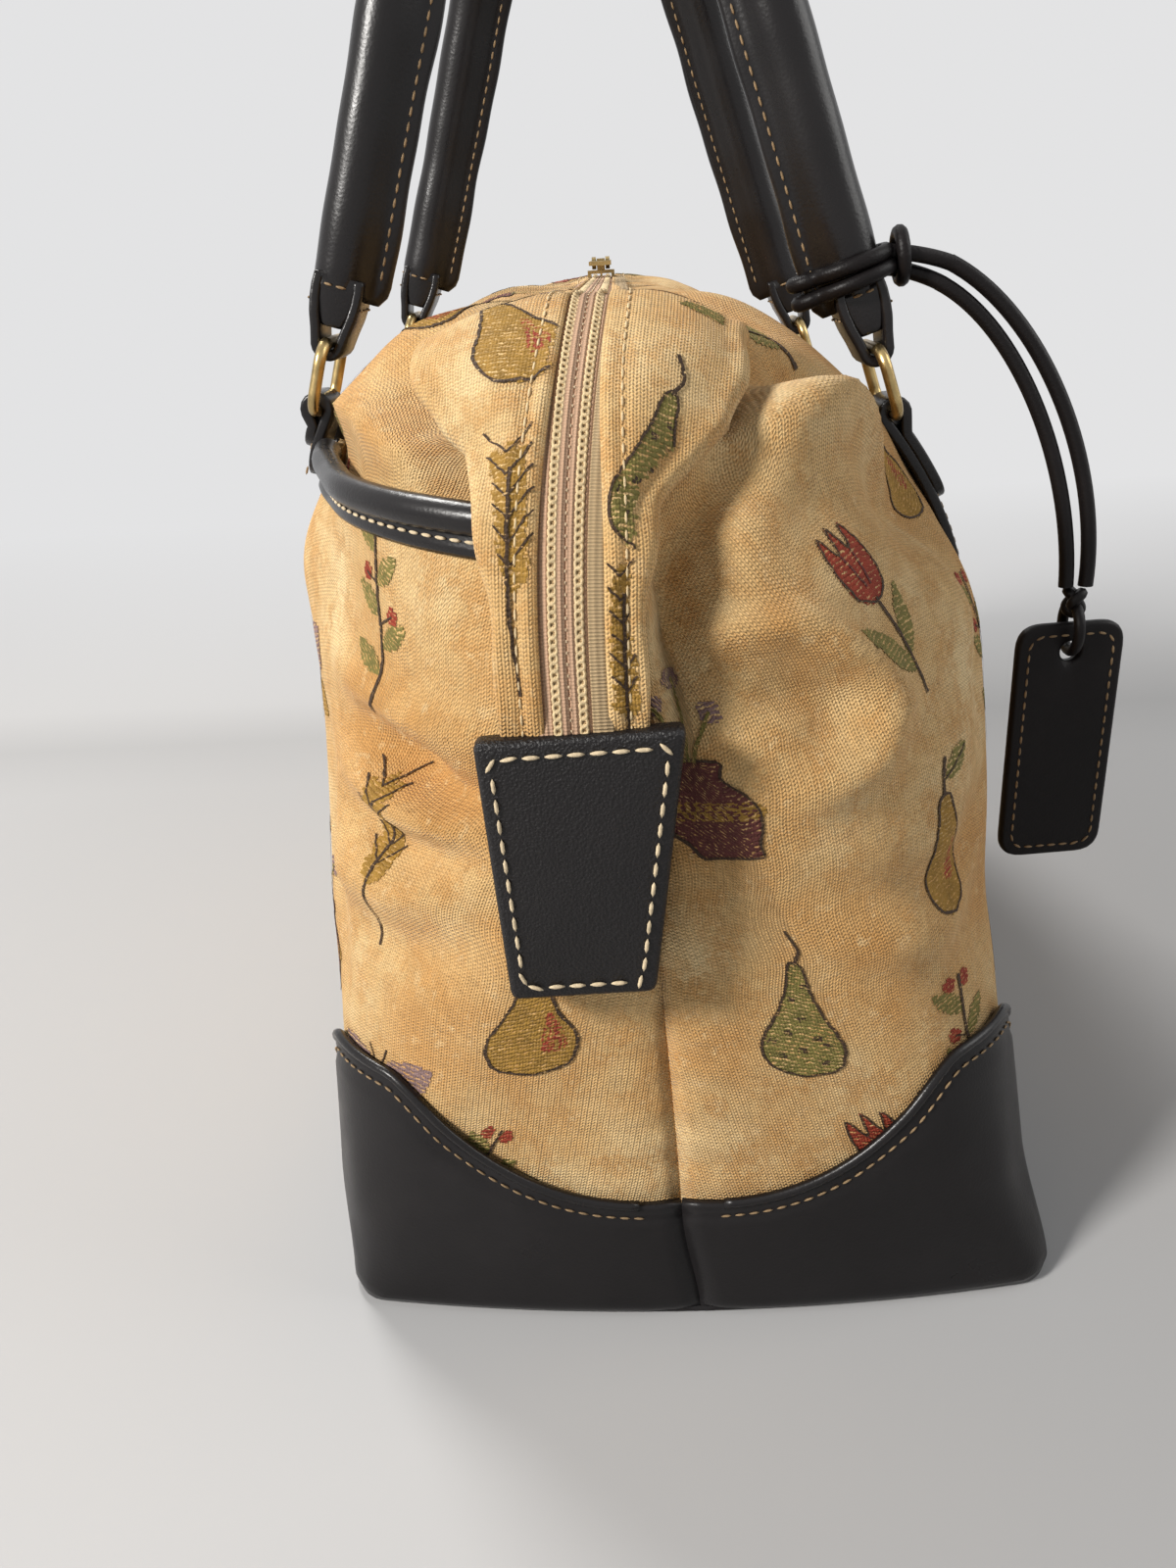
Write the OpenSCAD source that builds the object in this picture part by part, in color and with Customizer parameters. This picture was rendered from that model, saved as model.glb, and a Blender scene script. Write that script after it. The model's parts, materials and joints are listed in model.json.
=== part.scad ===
// Canvas shoulder bag: two canvas halves on a scalloped leather base,
// a zip across the top with a hanging tail at each end, an outer pocket
// with a rolled edge, two rolled handles on metal rings, and a hang tag.
// Units are millimetres. X runs along the bag, -Y is the pocket side, +Z is up.

/* [Body] */
// Length of the base
bag_length = 340; // [300:1:400]
// Depth of the base
bag_depth = 176; // [150:1:210]
// Height of the zip above the floor
bag_height = 236; // [215:1:270]
// Height where the walls begin to close in
shoulder_height = 150; // [130:1:165]
// Length at the shoulder
shoulder_length = 330; // [300:1:390]
// Depth at the shoulder
shoulder_depth = 164; // [140:1:200]
// Corner radius in plan at the base
base_corner = 6; // [6:1:30]
// Corner radius in plan at the shoulder
shoulder_corner = 72; // [40:1:80]
// How far the end walls bow out
end_bow = 7; // [2:0.5:12]
// How far the long walls bow out
side_bow = 6; // [2:0.5:12]
// How far the top leans towards the pocket side
top_lean = 15; // [0:1:20]
// Fullness of the pocket-side shoulder, 2 is an ellipse
front_fullness = 2.6; // [1.8:0.1:3.2]
// Fullness of the other shoulder, 2 is an ellipse
back_fullness = 1.8; // [1.6:0.1:3]
// Thickness of the canvas
canvas_wall = 1.6; // [1:0.1:2.4]
// Open seam between the two halves at the ends
seam_gap = 0.4; // [0.3:0.1:0.8]
// Air between two layers lying on each other
layer_gap = 0.4; // [0.3:0.1:0.8]

/* [Folds] */
// Depth of the hollow at each upper corner of the pocket side
front_hollow = 6.5; // [0:0.5:8]
// Depth of the hollow at each upper corner of the plain side
back_hollow = 8; // [0:0.5:9]
// Height of the middle of the hollows
hollow_height = 198; // [190:1:205]
// Reach of a hollow around its corner
hollow_reach = 26; // [16:1:30]
// Reach of a hollow up and down
hollow_rise = 18; // [12:1:22]
// Depth of the long soft folds in the walls
fold_depth = 5; // [0:0.5:7]
// Reach of a soft fold to each side
fold_reach = 12; // [8:1:16]
// Distance of the upper end of a fold from the middle of the wall
fold_top = 46; // [36:1:48]
// Distance of the lower end of a fold from the middle of the wall
fold_foot = 14; // [8:1:24]
// Height of the lower end of a fold
fold_low = 96; // [90:1:110]
// Height of the upper end of a fold
fold_high = 186; // [170:1:190]

/* [Leather base] */
// Thickness of the leather
leather_wall = 2; // [1.4:0.1:3]
// Thickness of the bottom leather
bottom_wall = 2.4; // [1.6:0.1:4]
// Height of the leather at the low parts of its edge
base_dip = 34; // [20:1:50]
// Height of the leather at the corner peaks
base_peak = 70; // [55:1:100]
// Distance from a peak to the low part on an end
scallop_reach = 84; // [60:1:90]
// Thickness of the stiffening board
board_wall = 3; // [2:0.5:5]
// Clear space between the board and the canvas above it
board_clearance = 1.4; // [1:0.1:3]

/* [Pocket] */
// How far the pocket edge lies below the zip, between the handle tabs
pocket_drop = 33; // [28:1:60]
// How far the pocket edge falls further towards the end seams
pocket_fall = 14; // [4:1:30]
// Radius of the rolled pocket edge
piping_radius = 3.8; // [2.5:0.1:5]

/* [Zip] */
// Half the length of the zip opening
zip_half = 120; // [100:1:130]
// Half the width of the zip opening
mouth_half = 7.5; // [6.5:0.5:12]
// Width of each zip tape
tape_width = 9; // [7.5:0.5:12]
// Thickness of the tape
tape_wall = 0.8; // [0.5:0.1:1.2]
// Width of each coil
coil_width = 2.8; // [2:0.1:4]
// Height of each coil
coil_height = 1.4; // [1:0.1:2.2]
// Gap between the two zip halves
zip_gap = 1.4; // [1.2:0.1:2]
// Width of the canvas tail
tail_width = 31; // [24:1:36]
// Thickness of the canvas tail
tail_wall = 1.2; // [0.8:0.1:2]
// Clear space between the hanging tail and the rolled pocket edge
tail_clearance = 0.4; // [0.3:0.1:4]
// Width of the end tab at its top
tab_top_width = 40; // [36:1:50]
// Width of the end tab at its bottom
tab_bottom_width = 31; // [24:1:40]
// Height of the top of the end tab above the floor
tab_top_height = 160; // [140:1:175]
// Length of the end tab
tab_length = 59; // [40:1:65]
// Sideways shift of the end tab from the zip line
tab_shift = 5; // [0:0.5:6]
// Depth of tail held inside the end tab
tab_grip = 18; // [10:1:30]
// Length of the slider
slider_length = 13; // [10:0.5:18]
// Thickness of the slider plates
slider_wall = 1.2; // [0.8:0.1:2]
// Distance of the slider from the middle of the zip
slider_offset = 100; // [60:1:105]
// Length of the puller
puller_length = 32; // [20:1:45]
// Width of the puller
puller_width = 8; // [7:0.5:12]
// Thickness of the puller
puller_wall = 1.4; // [1:0.1:2]
// Radius of the puller pin
pin_radius = 0.9; // [0.7:0.1:1.2]

/* [Handles] */
// Distance between the two feet of a handle
handle_span = 140; // [110:1:160]
// Height of the pocket-side handle loops above the pocket edge
front_loop_rise = 7; // [6:0.5:12]
// How far the other handle loops lie below the zip
back_loop_drop = 36; // [28:1:50]
// Length of a handle tab below its loop
strap_length = 40; // [25:1:50]
// Thickness of a handle tab
strap_wall = 2.5; // [1.8:0.1:3.5]
// Wire diameter of a ring
ring_wire = 3; // [2.4:0.1:4]
// Width of a ring between wire centres
ring_width = 26; // [24:0.5:32]
// Height of a ring between wire centres
ring_height = 17; // [15:0.5:24]
// Corner radius of a ring at the wire centre
ring_corner = 5; // [4:0.5:6]
// Leather around a ring bar
loop_wall = 2.4; // [1.8:0.1:3]
// Clearance of a ring bar in its leather loop
loop_clearance = 0.3; // [0.2:0.05:0.6]
// Length of a loop end between the ring and the roll
loop_length = 14; // [10:1:22]
// Reach of a handle from its ring hinge to the top of the roll
handle_reach = 200; // [160:1:240]
// Half thickness of the roll across the handle
roll_half_width = 7.5; // [6:0.5:10]
// Half thickness of the roll in the plane of the handle
roll_half_depth = 7; // [5:0.5:10]
// How far the stitched edge of the roll reaches from its centre
flange_reach = 12.5; // [10:0.5:16]
// Thickness of the stitched edge
flange_wall = 4; // [3:0.5:6]
// Gap between the two handles where they lean together
handle_gap = 0.8; // [0.6:0.1:2]

/* [Tag] */
// Width of the tag
tag_width = 30; // [24:1:40]
// Length of the tag
tag_length = 71; // [50:1:80]
// Thickness of the tag
tag_wall = 3.5; // [2:0.1:5]
// Corner radius of the tag
tag_corner = 5; // [3:0.5:10]
// Distance of the hole from the top of the tag
tag_hole_inset = 8; // [7:0.5:9]
// Diameter of the lace
lace_diameter = 4; // [3:0.1:4.4]
// Radius of the hole in the tag
tag_hole_radius = 2.8; // [2.7:0.1:3.4]
// Centre radius of the small loop through the tag
knot_loop_radius = 6.5; // [6.2:0.1:8]
// Radius of the knot over the tag
knot_radius = 3.8; // [3.4:0.1:4.2]
// Width of the hitch around the handle foot
hitch_width = 8; // [6:0.5:12]
// Thickness of the hitch
hitch_wall = 3; // [2:0.1:4]
// Radius of the knot on the hitch
hitch_knot_radius = 4.5; // [4:0.1:6]
// How far the hitch knot stands out from the handle
hitch_out = 18.5; // [18:0.5:24]
// Height of the hitch knot above the ring hinge
hitch_knot_rise = 31; // [28:0.5:36]
// How far the tag hangs out from the hitch knot
lace_out = 42; // [38:1:60]
// How far the tag hole hangs below the hitch knot
lace_drop = 100.5; // [88:0.5:110]
// How far the tag hangs along the bag from the handle foot
lace_along = 10; // [0:1:20]

/* [Hidden] */
ends = 4;
turns = 5;
longs = 7;
quarter_n = ends + turns + longs;
mouth_corner = mouth_half - 2.5;
tape_gap = 0.3;
tail_rise = tail_wall + layer_gap;
loop_bore = ring_wire / 2 + loop_clearance;
loop_radius = loop_bore + loop_wall;
loop_half = ring_width / 2 - ring_corner - 0.5;
pocket_height = bag_height - pocket_drop;
pocket_end_height = pocket_height - pocket_fall;
front_loop_height = pocket_height + front_loop_rise;
back_loop_height = bag_height - back_loop_drop;
foot_x = handle_span / 2;
pin_bore = pin_radius + 0.15;
eye_width = 1.6;
lug_half = 1.5;

function mix(a, b, t) = a + (b - a) * t;
function ease(t) = 1 - (1 - t) * (1 - t);
function clamp(t) = max(0, min(1, t));
function smooth(t) = let (c = clamp(t)) c * c * (3 - 2 * c);
function unit(v) = v / norm(v);
function reversed(list) = [for (i = [len(list) - 1:-1:0]) list[i]];

// Surface of the bag: level w runs 0 to 1 up the wall and 1 to 2 over the shoulder.
function level_z(w) = w <= 1 ? w * shoulder_height
    : shoulder_height + (bag_height - shoulder_height) * sin(90 * (w - 1));
function level_of(z) = z <= shoulder_height ? z / shoulder_height
    : 1 + asin(min(1, (z - shoulder_height) / (bag_height - shoulder_height))) / 90;
function close_in(w) = w <= 1 ? 1 : cos(90 * (w - 1));
function bend(s, n) = pow(max(0, 1 - pow(s, n)), 1 / n);
function fullness(side) = side < 0 ? front_fullness : back_fullness;
function half_length(w) = w <= 1 ? mix(bag_length / 2, shoulder_length / 2, ease(w))
    : zip_half + (shoulder_length / 2 - zip_half) * close_in(w);
function half_depth(side, w) = w <= 1 ? mix(bag_depth / 2, shoulder_depth / 2, ease(w))
    : mouth_half + (shoulder_depth / 2 - mouth_half) * bend(sin(90 * (w - 1)), fullness(side));
function corner_radius(w) = w <= 1 ? mix(base_corner, shoulder_corner, w)
    : mouth_corner + (shoulder_corner - mouth_corner) * bend(sin(90 * (w - 1)), 3);
function lean_y(z) = -top_lean * pow(max(0, z) / bag_height, 1.6);
zip_y = lean_y(bag_height);

function bowed(p, a, b, w) = [
    p[0] + end_bow * close_in(w) * (1 - pow(p[1] / b, 2)),
    p[1] + side_bow * close_in(w) * (1 - pow(p[0] / a, 2))];
function quarter_flat(u, a, b, r) = u <= ends ? [a, (b - r) * u / ends]
    : u <= ends + turns ? let (t = 90 * (u - ends) / turns) [a - r + r * cos(t), b - r + r * sin(t)]
    : [(a - r) * (1 - (u - ends - turns) / longs), b];
function quarter(side, u, w) = let (a = half_length(w), b = half_depth(side, w))
    bowed(quarter_flat(u, a, b, min(corner_radius(w), 0.92 * b)), a, b, w);
function half_plan(side, u, w) = u <= quarter_n ? quarter(side, u, w)
    : let (q = quarter(side, 2 * quarter_n - u, w)) [-q[0], q[1]];
function plain_skin(side, u, w) = let (p = half_plan(side, u, w), z = level_z(w))
    [p[0], side * (p[1] + seam_gap / 2) + lean_y(z), z];
function plain_out(side, u, w) = side * unit(cross(
    plain_skin(side, u + 0.04, w) - plain_skin(side, u - 0.04, w),
    plain_skin(side, u, w + 0.01) - plain_skin(side, u, w - 0.01)));

// Loose cloth: a hollow at each upper corner, and two long folds in each wall that run down between the handles.
function hollow_in(side, u, w) = let (c = half_plan(side, ends + 0.8 * turns, level_of(hollow_height)),
    p = half_plan(side, u, w), away = norm([abs(p[0]) - c[0], p[1] - c[1]]))
    (side < 0 ? front_hollow : back_hollow) * (1 - smooth((w - 1.7) / 0.2))
    * exp(-pow(away / hollow_reach, 2) - pow((level_z(w) - hollow_height) / hollow_rise, 2));
function fold_in(side, u, w) = let (z = level_z(w), t = (z - fold_low) / (fold_high - fold_low),
    away = abs(half_plan(side, u, w)[0]) - mix(fold_foot, fold_top, t))
    fold_depth * exp(-pow(away / fold_reach, 2)) * smooth(4 * t) * (1 - smooth(4 * t - 3));
function skin_at(side, u, w) = plain_skin(side, u, w)
    - (hollow_in(side, u, w) + fold_in(side, u, w)) * plain_out(side, u, w);
function outward(side, u, w) = side * unit(cross(
    skin_at(side, u + 0.04, w) - skin_at(side, u - 0.04, w),
    skin_at(side, u, w + 0.01) - skin_at(side, u, w - 0.01)));

// A point of a long wall over a given X.
function wall_point(side, x, w) = let (a = half_length(w), b = half_depth(side, w), z = level_z(w))
    [x, side * (b + side_bow * close_in(w) * (1 - pow(x / a, 2)) + seam_gap / 2) + lean_y(z), z];
function wall_out(side, x, w) = side * unit(cross(
    wall_point(side, x - 0.5, w) - wall_point(side, x + 0.5, w),
    wall_point(side, x, w + 0.01) - wall_point(side, x, w - 0.01)));

// Triangles of a closed sheet: n columns, m rows, outer grid first, inner grid after it.
function turned(faces, keep) = keep ? faces : [for (f = faces) reversed(f)];
function sheet_faces(n, m, keep) = let (k = n * m) turned(concat(
    [for (i = [0:n - 2]) for (j = [0:m - 2]) [i * m + j, i * m + j + 1, i * m + m + j + 1]],
    [for (i = [0:n - 2]) for (j = [0:m - 2]) [i * m + j, i * m + m + j + 1, i * m + m + j]],
    [for (i = [0:n - 2]) for (j = [0:m - 2]) [k + i * m + j, k + i * m + m + j + 1, k + i * m + j + 1]],
    [for (i = [0:n - 2]) for (j = [0:m - 2]) [k + i * m + j, k + i * m + m + j, k + i * m + m + j + 1]],
    [for (i = [0:n - 2]) [i * m, i * m + m, k + i * m + m]],
    [for (i = [0:n - 2]) [i * m, k + i * m + m, k + i * m]],
    [for (i = [0:n - 2]) let (t = i * m + m - 1) [t + m, t, k + t]],
    [for (i = [0:n - 2]) let (t = i * m + m - 1) [t + m, k + t, k + t + m]],
    [for (j = [0:m - 2]) [j + 1, j, k + j]],
    [for (j = [0:m - 2]) [j + 1, k + j, k + j + 1]],
    [for (j = [0:m - 2]) let (t = (n - 1) * m + j) [t, t + 1, k + t + 1]],
    [for (j = [0:m - 2]) let (t = (n - 1) * m + j) [t, k + t + 1, k + t]]), keep);

// A layer of one half of the bag between two offsets from its surface.
module layer(side, lows, highs, rows, inner, outer, tuck = 0, tuck_from = 1) {
    us = [for (u = [0:2 * quarter_n]) u];
    grid = [for (u = us) for (j = [0:rows]) [u, mix(lows[u], highs[u], j / rows)]];
    sunk = [for (g = grid) tuck * (1 - smooth((g[1] - tuck_from) / (2 - tuck_from)))];
    outs = [for (i = [0:len(grid) - 1]) skin_at(side, grid[i][0], grid[i][1])
        + (outer - sunk[i]) * outward(side, grid[i][0], grid[i][1])];
    ins = [for (i = [0:len(grid) - 1]) skin_at(side, grid[i][0], grid[i][1])
        + (inner - sunk[i]) * outward(side, grid[i][0], grid[i][1])];
    polyhedron(points = concat(outs, ins), faces = sheet_faces(len(us), rows + 1, side > 0));
}

// A strap lying on a long wall between two offsets from its surface.
module wall_strap(side, x, half, z_low, z_high, inner, outer) {
    columns = 4;
    rows = 8;
    grid = [for (i = [0:columns]) for (j = [0:rows])
        [x - side * half * (2 * i / columns - 1) * side, level_of(mix(z_low, z_high, j / rows))]];
    outs = [for (g = grid) wall_point(side, g[0], g[1]) + outer * wall_out(side, g[0], g[1])];
    ins = [for (g = grid) wall_point(side, g[0], g[1]) + inner * wall_out(side, g[0], g[1])];
    polyhedron(points = concat(outs, ins), faces = sheet_faces(columns + 1, rows + 1, side > 0));
}

// A section carried along a path, its first axis held near the direction ref.
function path_dir(path, i) = unit(path[min(i + 1, len(path) - 1)] - path[max(i - 1, 0)]);
function path_first(path, i, ref) = let (t = path_dir(path, i)) unit(ref - (ref * t) * t);
function path_ring(path, i, section, ref) = let (e = path_first(path, i, ref), f = cross(path_dir(path, i), e))
    [for (s = section) path[i] + s[0] * e + s[1] * f];
module carried(path, section, ref) {
    n = len(section);
    last = len(path) - 1;
    points = [for (i = [0:last]) each path_ring(path, i, section, ref)];
    sides = [for (i = [0:last - 1]) for (a = [0:n - 1]) let (b = (a + 1) % n)
        each [[i * n + a, i * n + n + b, i * n + b], [i * n + a, i * n + n + a, i * n + n + b]]];
    caps = [[for (a = [0:n - 1]) a], [for (a = [n - 1:-1:0]) last * n + a]];
    polyhedron(points = points, faces = concat(sides, caps));
}
function round_section(r, n) = [for (k = [0:n - 1]) r * [cos(360 * k / n), sin(360 * k / n)]];
function curve(a, b, c, d, t) = a * pow(1 - t, 3) + 3 * b * t * pow(1 - t, 2) + 3 * c * t * t * (1 - t) + d * pow(t, 3);

// Plan of the base, grown by an amount.
function base_half(side, grow) = [for (u = [0:2 * quarter_n]) let (p = skin_at(side, u, 0), n = outward(side, u, 0))
    [p[0], p[1]] + grow * unit([n[0], n[1]])];
function base_plan(grow) = concat(base_half(1, grow), reversed(base_half(-1, grow)));

// Height of the leather edge: a peak at each corner, low between them.
function corner_gap(side, u) = let (p = half_plan(side, u, 0.4), a = half_length(0.4), b = half_depth(side, 0.4))
    abs(abs(p[0]) - a + 0.3 * base_corner) + abs(p[1] - b + 0.3 * base_corner);
function leather_edge(side, u) = base_dip
    + (base_peak - base_dip) * (0.5 + 0.5 * cos(180 * clamp(corner_gap(side, u) / scallop_reach)));
function pocket_edge(u) = let (q = u <= quarter_n ? u : 2 * quarter_n - u)
    mix(pocket_end_height, pocket_height, smooth(q / (ends + turns)));

// Run of the zip tail down an end: points over the end profile.
function end_point(w) = [half_length(w) + end_bow * close_in(w), level_z(w)];
function end_out(w) = let (d = end_point(w + 0.01) - end_point(w - 0.01)) unit([d[1], -d[0]]);
tail_standoff = (2 * piping_radius - canvas_wall + tail_clearance) / 0.85;
function tail_lift(w) = tape_gap + tail_rise * smooth((2 - w) / 0.15)
    + tail_standoff * smooth((1.85 - w) / 0.7);
function tail_line(w_low, w_high, steps, off) = [for (k = [0:steps]) let (w = mix(w_low, w_high, k / steps))
    end_point(w) + (tail_lift(w) + off) * end_out(w)];
function far_side(line) = [for (p = reversed(line)) [-p[0], p[1]]];
function whole_line(w_low, steps, off) = let (near = tail_line(w_low, 2, steps, off)) concat(near, far_side(near));
tab_bottom_height = tab_top_height - tab_length;
tab_top_level = level_of(tab_top_height);
tab_low_level = level_of(tab_bottom_height);
slot_level = level_of(tab_top_height - tab_grip);
held_level = level_of(tab_top_height - tab_grip + 1);
slot_out = tape_wall + tape_gap;
slot_in = -2 * tape_gap - tail_wall;

module band(points, y_low, y_high) {
    translate([0, y_high, 0])
        rotate([90, 0, 0])
            linear_extrude(height = y_high - y_low)
                polygon(points);
}
tape_steps = 18;
coil_steps = floor(tape_steps * (2 - tab_top_level - 0.02) / (2 - held_level));
coil_level = 2 - (2 - held_level) * coil_steps / tape_steps;
module tape(y_low, y_high) {
    band(concat(whole_line(held_level, tape_steps, tape_wall), reversed(whole_line(held_level, tape_steps, 0))),
        y_low, y_high);
}
module coil(y_low, y_high) {
    band(concat(whole_line(coil_level, coil_steps, tape_wall + coil_height),
        reversed(whole_line(coil_level, coil_steps, tape_wall))), y_low, y_high);
}
module tail() {
    band(concat(tail_line(held_level, 1.85, 14, -tape_gap),
        reversed(tail_line(held_level, 1.85, 14, -tape_gap - tail_wall))),
        zip_y - tail_width / 2 - tab_shift / 2, zip_y + tail_width / 2 - tab_shift / 2);
}
function tab_plan() = let (t = tab_top_width / 2, b = tab_bottom_width / 2, r = 4, h = tab_length)
    concat([for (k = [0:4]) [b - r + r * sin(22.5 * k), r - r * cos(22.5 * k)]],
        [for (k = [0:4]) [t - r + r * cos(22.5 * k), h - r + r * sin(22.5 * k)]],
        [for (k = [0:4]) [-t + r - r * sin(22.5 * k), h - r + r * cos(22.5 * k)]],
        [for (k = [0:4]) [-b + r - r * cos(22.5 * k), r - r * sin(22.5 * k)]]);
module end_tab() {
    outer = tail_line(tab_low_level, tab_top_level, 6, slot_out + leather_wall);
    slot_a = tail_line(slot_level, tab_top_level, 3, slot_out);
    slot_b = tail_line(slot_level, tab_top_level, 3, slot_in);
    inner = tail_line(tab_low_level, tab_top_level, 6, slot_in - leather_wall);
    intersection() {
        band(concat(outer, reversed(slot_a), slot_b, reversed(inner)),
            zip_y - tab_shift - tab_top_width, zip_y - tab_shift + tab_top_width);
        translate([shoulder_length / 2 - 40, zip_y - tab_shift, tab_bottom_height])
            rotate([90, 0, 90])
                linear_extrude(height = 100)
                    polygon(tab_plan());
    }
}
module to_far() {
    mirror([1, 0, 0])
        children();
}

// Hinge line of the rings on one side, as Y and Z.
function loop_height(side) = side < 0 ? front_loop_height : back_loop_height;
function hinge_line(side) = let (w = level_of(loop_height(side)),
    p = wall_point(side, foot_x, w) + (loop_radius + layer_gap) * wall_out(side, foot_x, w)) [p[1], p[2]];
front_hinge = hinge_line(-1);
back_hinge = hinge_line(1);
handle_lean = asin(((back_hinge[0] - front_hinge[0]) / 2 - flange_reach - handle_gap / 2) / handle_reach);
module on_hinge(side) {
    h = side < 0 ? front_hinge : back_hinge;
    translate([0, h[0], h[1]])
        rotate([side * handle_lean, 0, 0])
            children();
}
module handle_tab(side, x) {
    h = side < 0 ? front_hinge : back_hinge;
    difference() {
        union() {
            wall_strap(side, x, loop_half, loop_height(side) - strap_length, loop_height(side) - 1,
                layer_gap, layer_gap + strap_wall);
            translate([x, h[0], h[1]])
                rotate([0, 90, 0])
                    cylinder(r = loop_radius, h = 2 * loop_half, center = true, $fn = 48);
        }
        translate([x, h[0], h[1]])
            rotate([0, 90, 0])
                cylinder(r = loop_bore, h = 2 * loop_half + 2, center = true, $fn = 48);
    }
}
module ring() {
    w = ring_width / 2 - ring_corner;
    h = ring_height / 2 - ring_corner;
    r = ring_wire / 2;
    translate([0, 0, ring_height / 2]) {
        for (k = [-1, 1]) {
            translate([0, 0, k * ring_height / 2])
                rotate([0, 90, 0])
                    cylinder(r = r, h = 2 * w, center = true, $fn = 32);
            translate([k * ring_width / 2, 0, 0])
                cylinder(r = r, h = 2 * h, center = true, $fn = 32);
        }
        for (c = [[1, 1, 0], [1, -1, 90], [-1, -1, 180], [-1, 1, 270]])
            translate([c[0] * w, 0, c[1] * h])
                rotate([0, c[2], 0])
                    rotate([90, 0, 0])
                        rotate_extrude(angle = 90, $fn = 64)
                            translate([ring_corner, 0])
                                circle(r = r, $fn = 32);
    }
}
module placed_ring(side, x) {
    on_hinge(side)
        translate([x, 0, 0])
            ring();
}

// Section of a handle roll: round, with a flat stitched edge on one side.
function roll_section(grow) = let (f = flange_wall / 2 + grow) concat(
    [[flange_reach + grow, -f], [flange_reach + grow, f]],
    [for (k = [0:10]) let (t = 40 + 28 * k) [(roll_half_width + grow) * cos(t), (roll_half_depth + grow) * sin(t)]]);
roll_start = ring_height + loop_length;
function grip_point(t) = let (e = 2 / 2.6, c = cos(t), s = sin(t))
    [foot_x * sign(c) * pow(abs(c), e), 0, roll_start + (handle_reach - roll_start) * pow(abs(s), e)];
function grip_angle(k, n) = let (t = 180 * k / n) t - 14 * sin(2 * t) / 2;
module grip(side) {
    steps = 44;
    path = [for (k = [0:steps]) grip_point(grip_angle(k, steps))];
    on_hinge(side)
        carried(path, roll_section(0), [0, -side, 0]);
}
module foot_plan(side, grow) {
    polygon([for (p = roll_section(grow)) [p[1], -side * p[0]]]);
}
module end_loop(side, x) {
    on_hinge(side)
        translate([x, 0, ring_height])
            difference() {
                hull() {
                    rotate([0, 90, 0])
                        cylinder(r = loop_radius, h = 2 * loop_half, center = true, $fn = 32);
                    translate([0, 0, loop_length - 1 - layer_gap])
                        linear_extrude(height = 1)
                            foot_plan(side, 0);
                }
                rotate([0, 90, 0])
                    cylinder(r = loop_bore, h = 2 * loop_half + 2, center = true, $fn = 48);
            }
}

// Lace and tag, hung from the hitch on the near foot of the handle without the pocket.
hitch_point = let (c = cos(handle_lean), s = sin(handle_lean))
    [foot_x, back_hinge[0] + hitch_out * c - hitch_knot_rise * s, back_hinge[1] + hitch_out * s + hitch_knot_rise * c];
tag_hole = hitch_point + [lace_along, lace_out, -lace_drop];
knot_centre = tag_hole + [0, 0, 2 * knot_loop_radius + 1];
lace_fall = 28;
lace_dir = [0, cos(lace_fall), -sin(lace_fall)];
lace_side = [0, sin(lace_fall), cos(lace_fall)];
lace_spread = lace_diameter / 2 + 0.6;
function lace_path(k) = let (
    a = hitch_point + (hitch_knot_radius + 0.3) * lace_dir + k * lace_spread * lace_side,
    d = knot_centre + [0, k * lace_spread, knot_radius + 0.2],
    b = a + (24 + 2 * k) * lace_dir + [lace_along / 3, 0, 0],
    c = d + [0, k * 1.2, 33])
    [for (i = [0:12]) curve(a, b, c, d, i / 12)];

module leather_bottom() {
    color([0.16, 0.14, 0.14])
        linear_extrude(height = bottom_wall)
            polygon(base_plan(layer_gap + leather_wall));
}
module base_board() {
    color([0.5, 0.42, 0.32])
        translate([0, 0, bottom_wall])
            linear_extrude(height = board_wall)
                polygon(base_plan(-2 * canvas_wall - 2 * layer_gap));
}
module leather_half(side) {
    us = [for (u = [0:2 * quarter_n]) u];
    color([0.2, 0.18, 0.19])
        layer(side, [for (u = us) level_of(bottom_wall)], [for (u = us) level_of(leather_edge(side, u))],
            4, layer_gap, layer_gap + leather_wall);
}
module leather_front() {
    leather_half(-1);
}
module leather_back() {
    leather_half(1);
}
floor_level = level_of(bottom_wall + board_wall + board_clearance);
module front_panel() {
    us = [for (u = [0:2 * quarter_n]) u];
    color([0.86, 0.72, 0.5])
        layer(-1, [for (u = us) floor_level], [for (u = us) 2], 14, -canvas_wall, 0,
            canvas_wall + 2 * layer_gap, level_of(pocket_height));
}
module back_panel() {
    us = [for (u = [0:2 * quarter_n]) u];
    color([0.88, 0.74, 0.5])
        layer(1, [for (u = us) floor_level], [for (u = us) 2], 14, -canvas_wall, 0);
}
module front_pocket() {
    us = [for (u = [0:2 * quarter_n]) u];
    color([0.84, 0.7, 0.47])
        layer(-1, [for (u = us) floor_level], [for (u = us) level_of(pocket_edge(u))], 10, -canvas_wall, 0);
}
// The rolled edge stops short of the handle tabs, so it is three rolls.
function roll_edge_point(u) = let (w = level_of(pocket_edge(u) + piping_radius))
    skin_at(-1, u, w) + (piping_radius - canvas_wall) * outward(-1, u, w);
function u_at(x) = quarter_n - longs * x / (half_length(1.5) - corner_radius(1.5));
module pocket_piping() {
    clear = loop_half + piping_radius + 1;
    near = [for (k = [0:14]) roll_edge_point(mix(0.15, u_at(foot_x + clear), k / 14))];
    middle = [for (k = [0:12]) roll_edge_point(mix(u_at(foot_x - clear), 2 * quarter_n - u_at(foot_x - clear), k / 12))];
    color([0.15, 0.13, 0.13]) {
        carried(near, round_section(piping_radius, 10), [0, 0, 1]);
        carried(middle, round_section(piping_radius, 10), [0, 0, 1]);
        to_far()
            carried(near, round_section(piping_radius, 10), [0, 0, 1]);
    }
}
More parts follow.
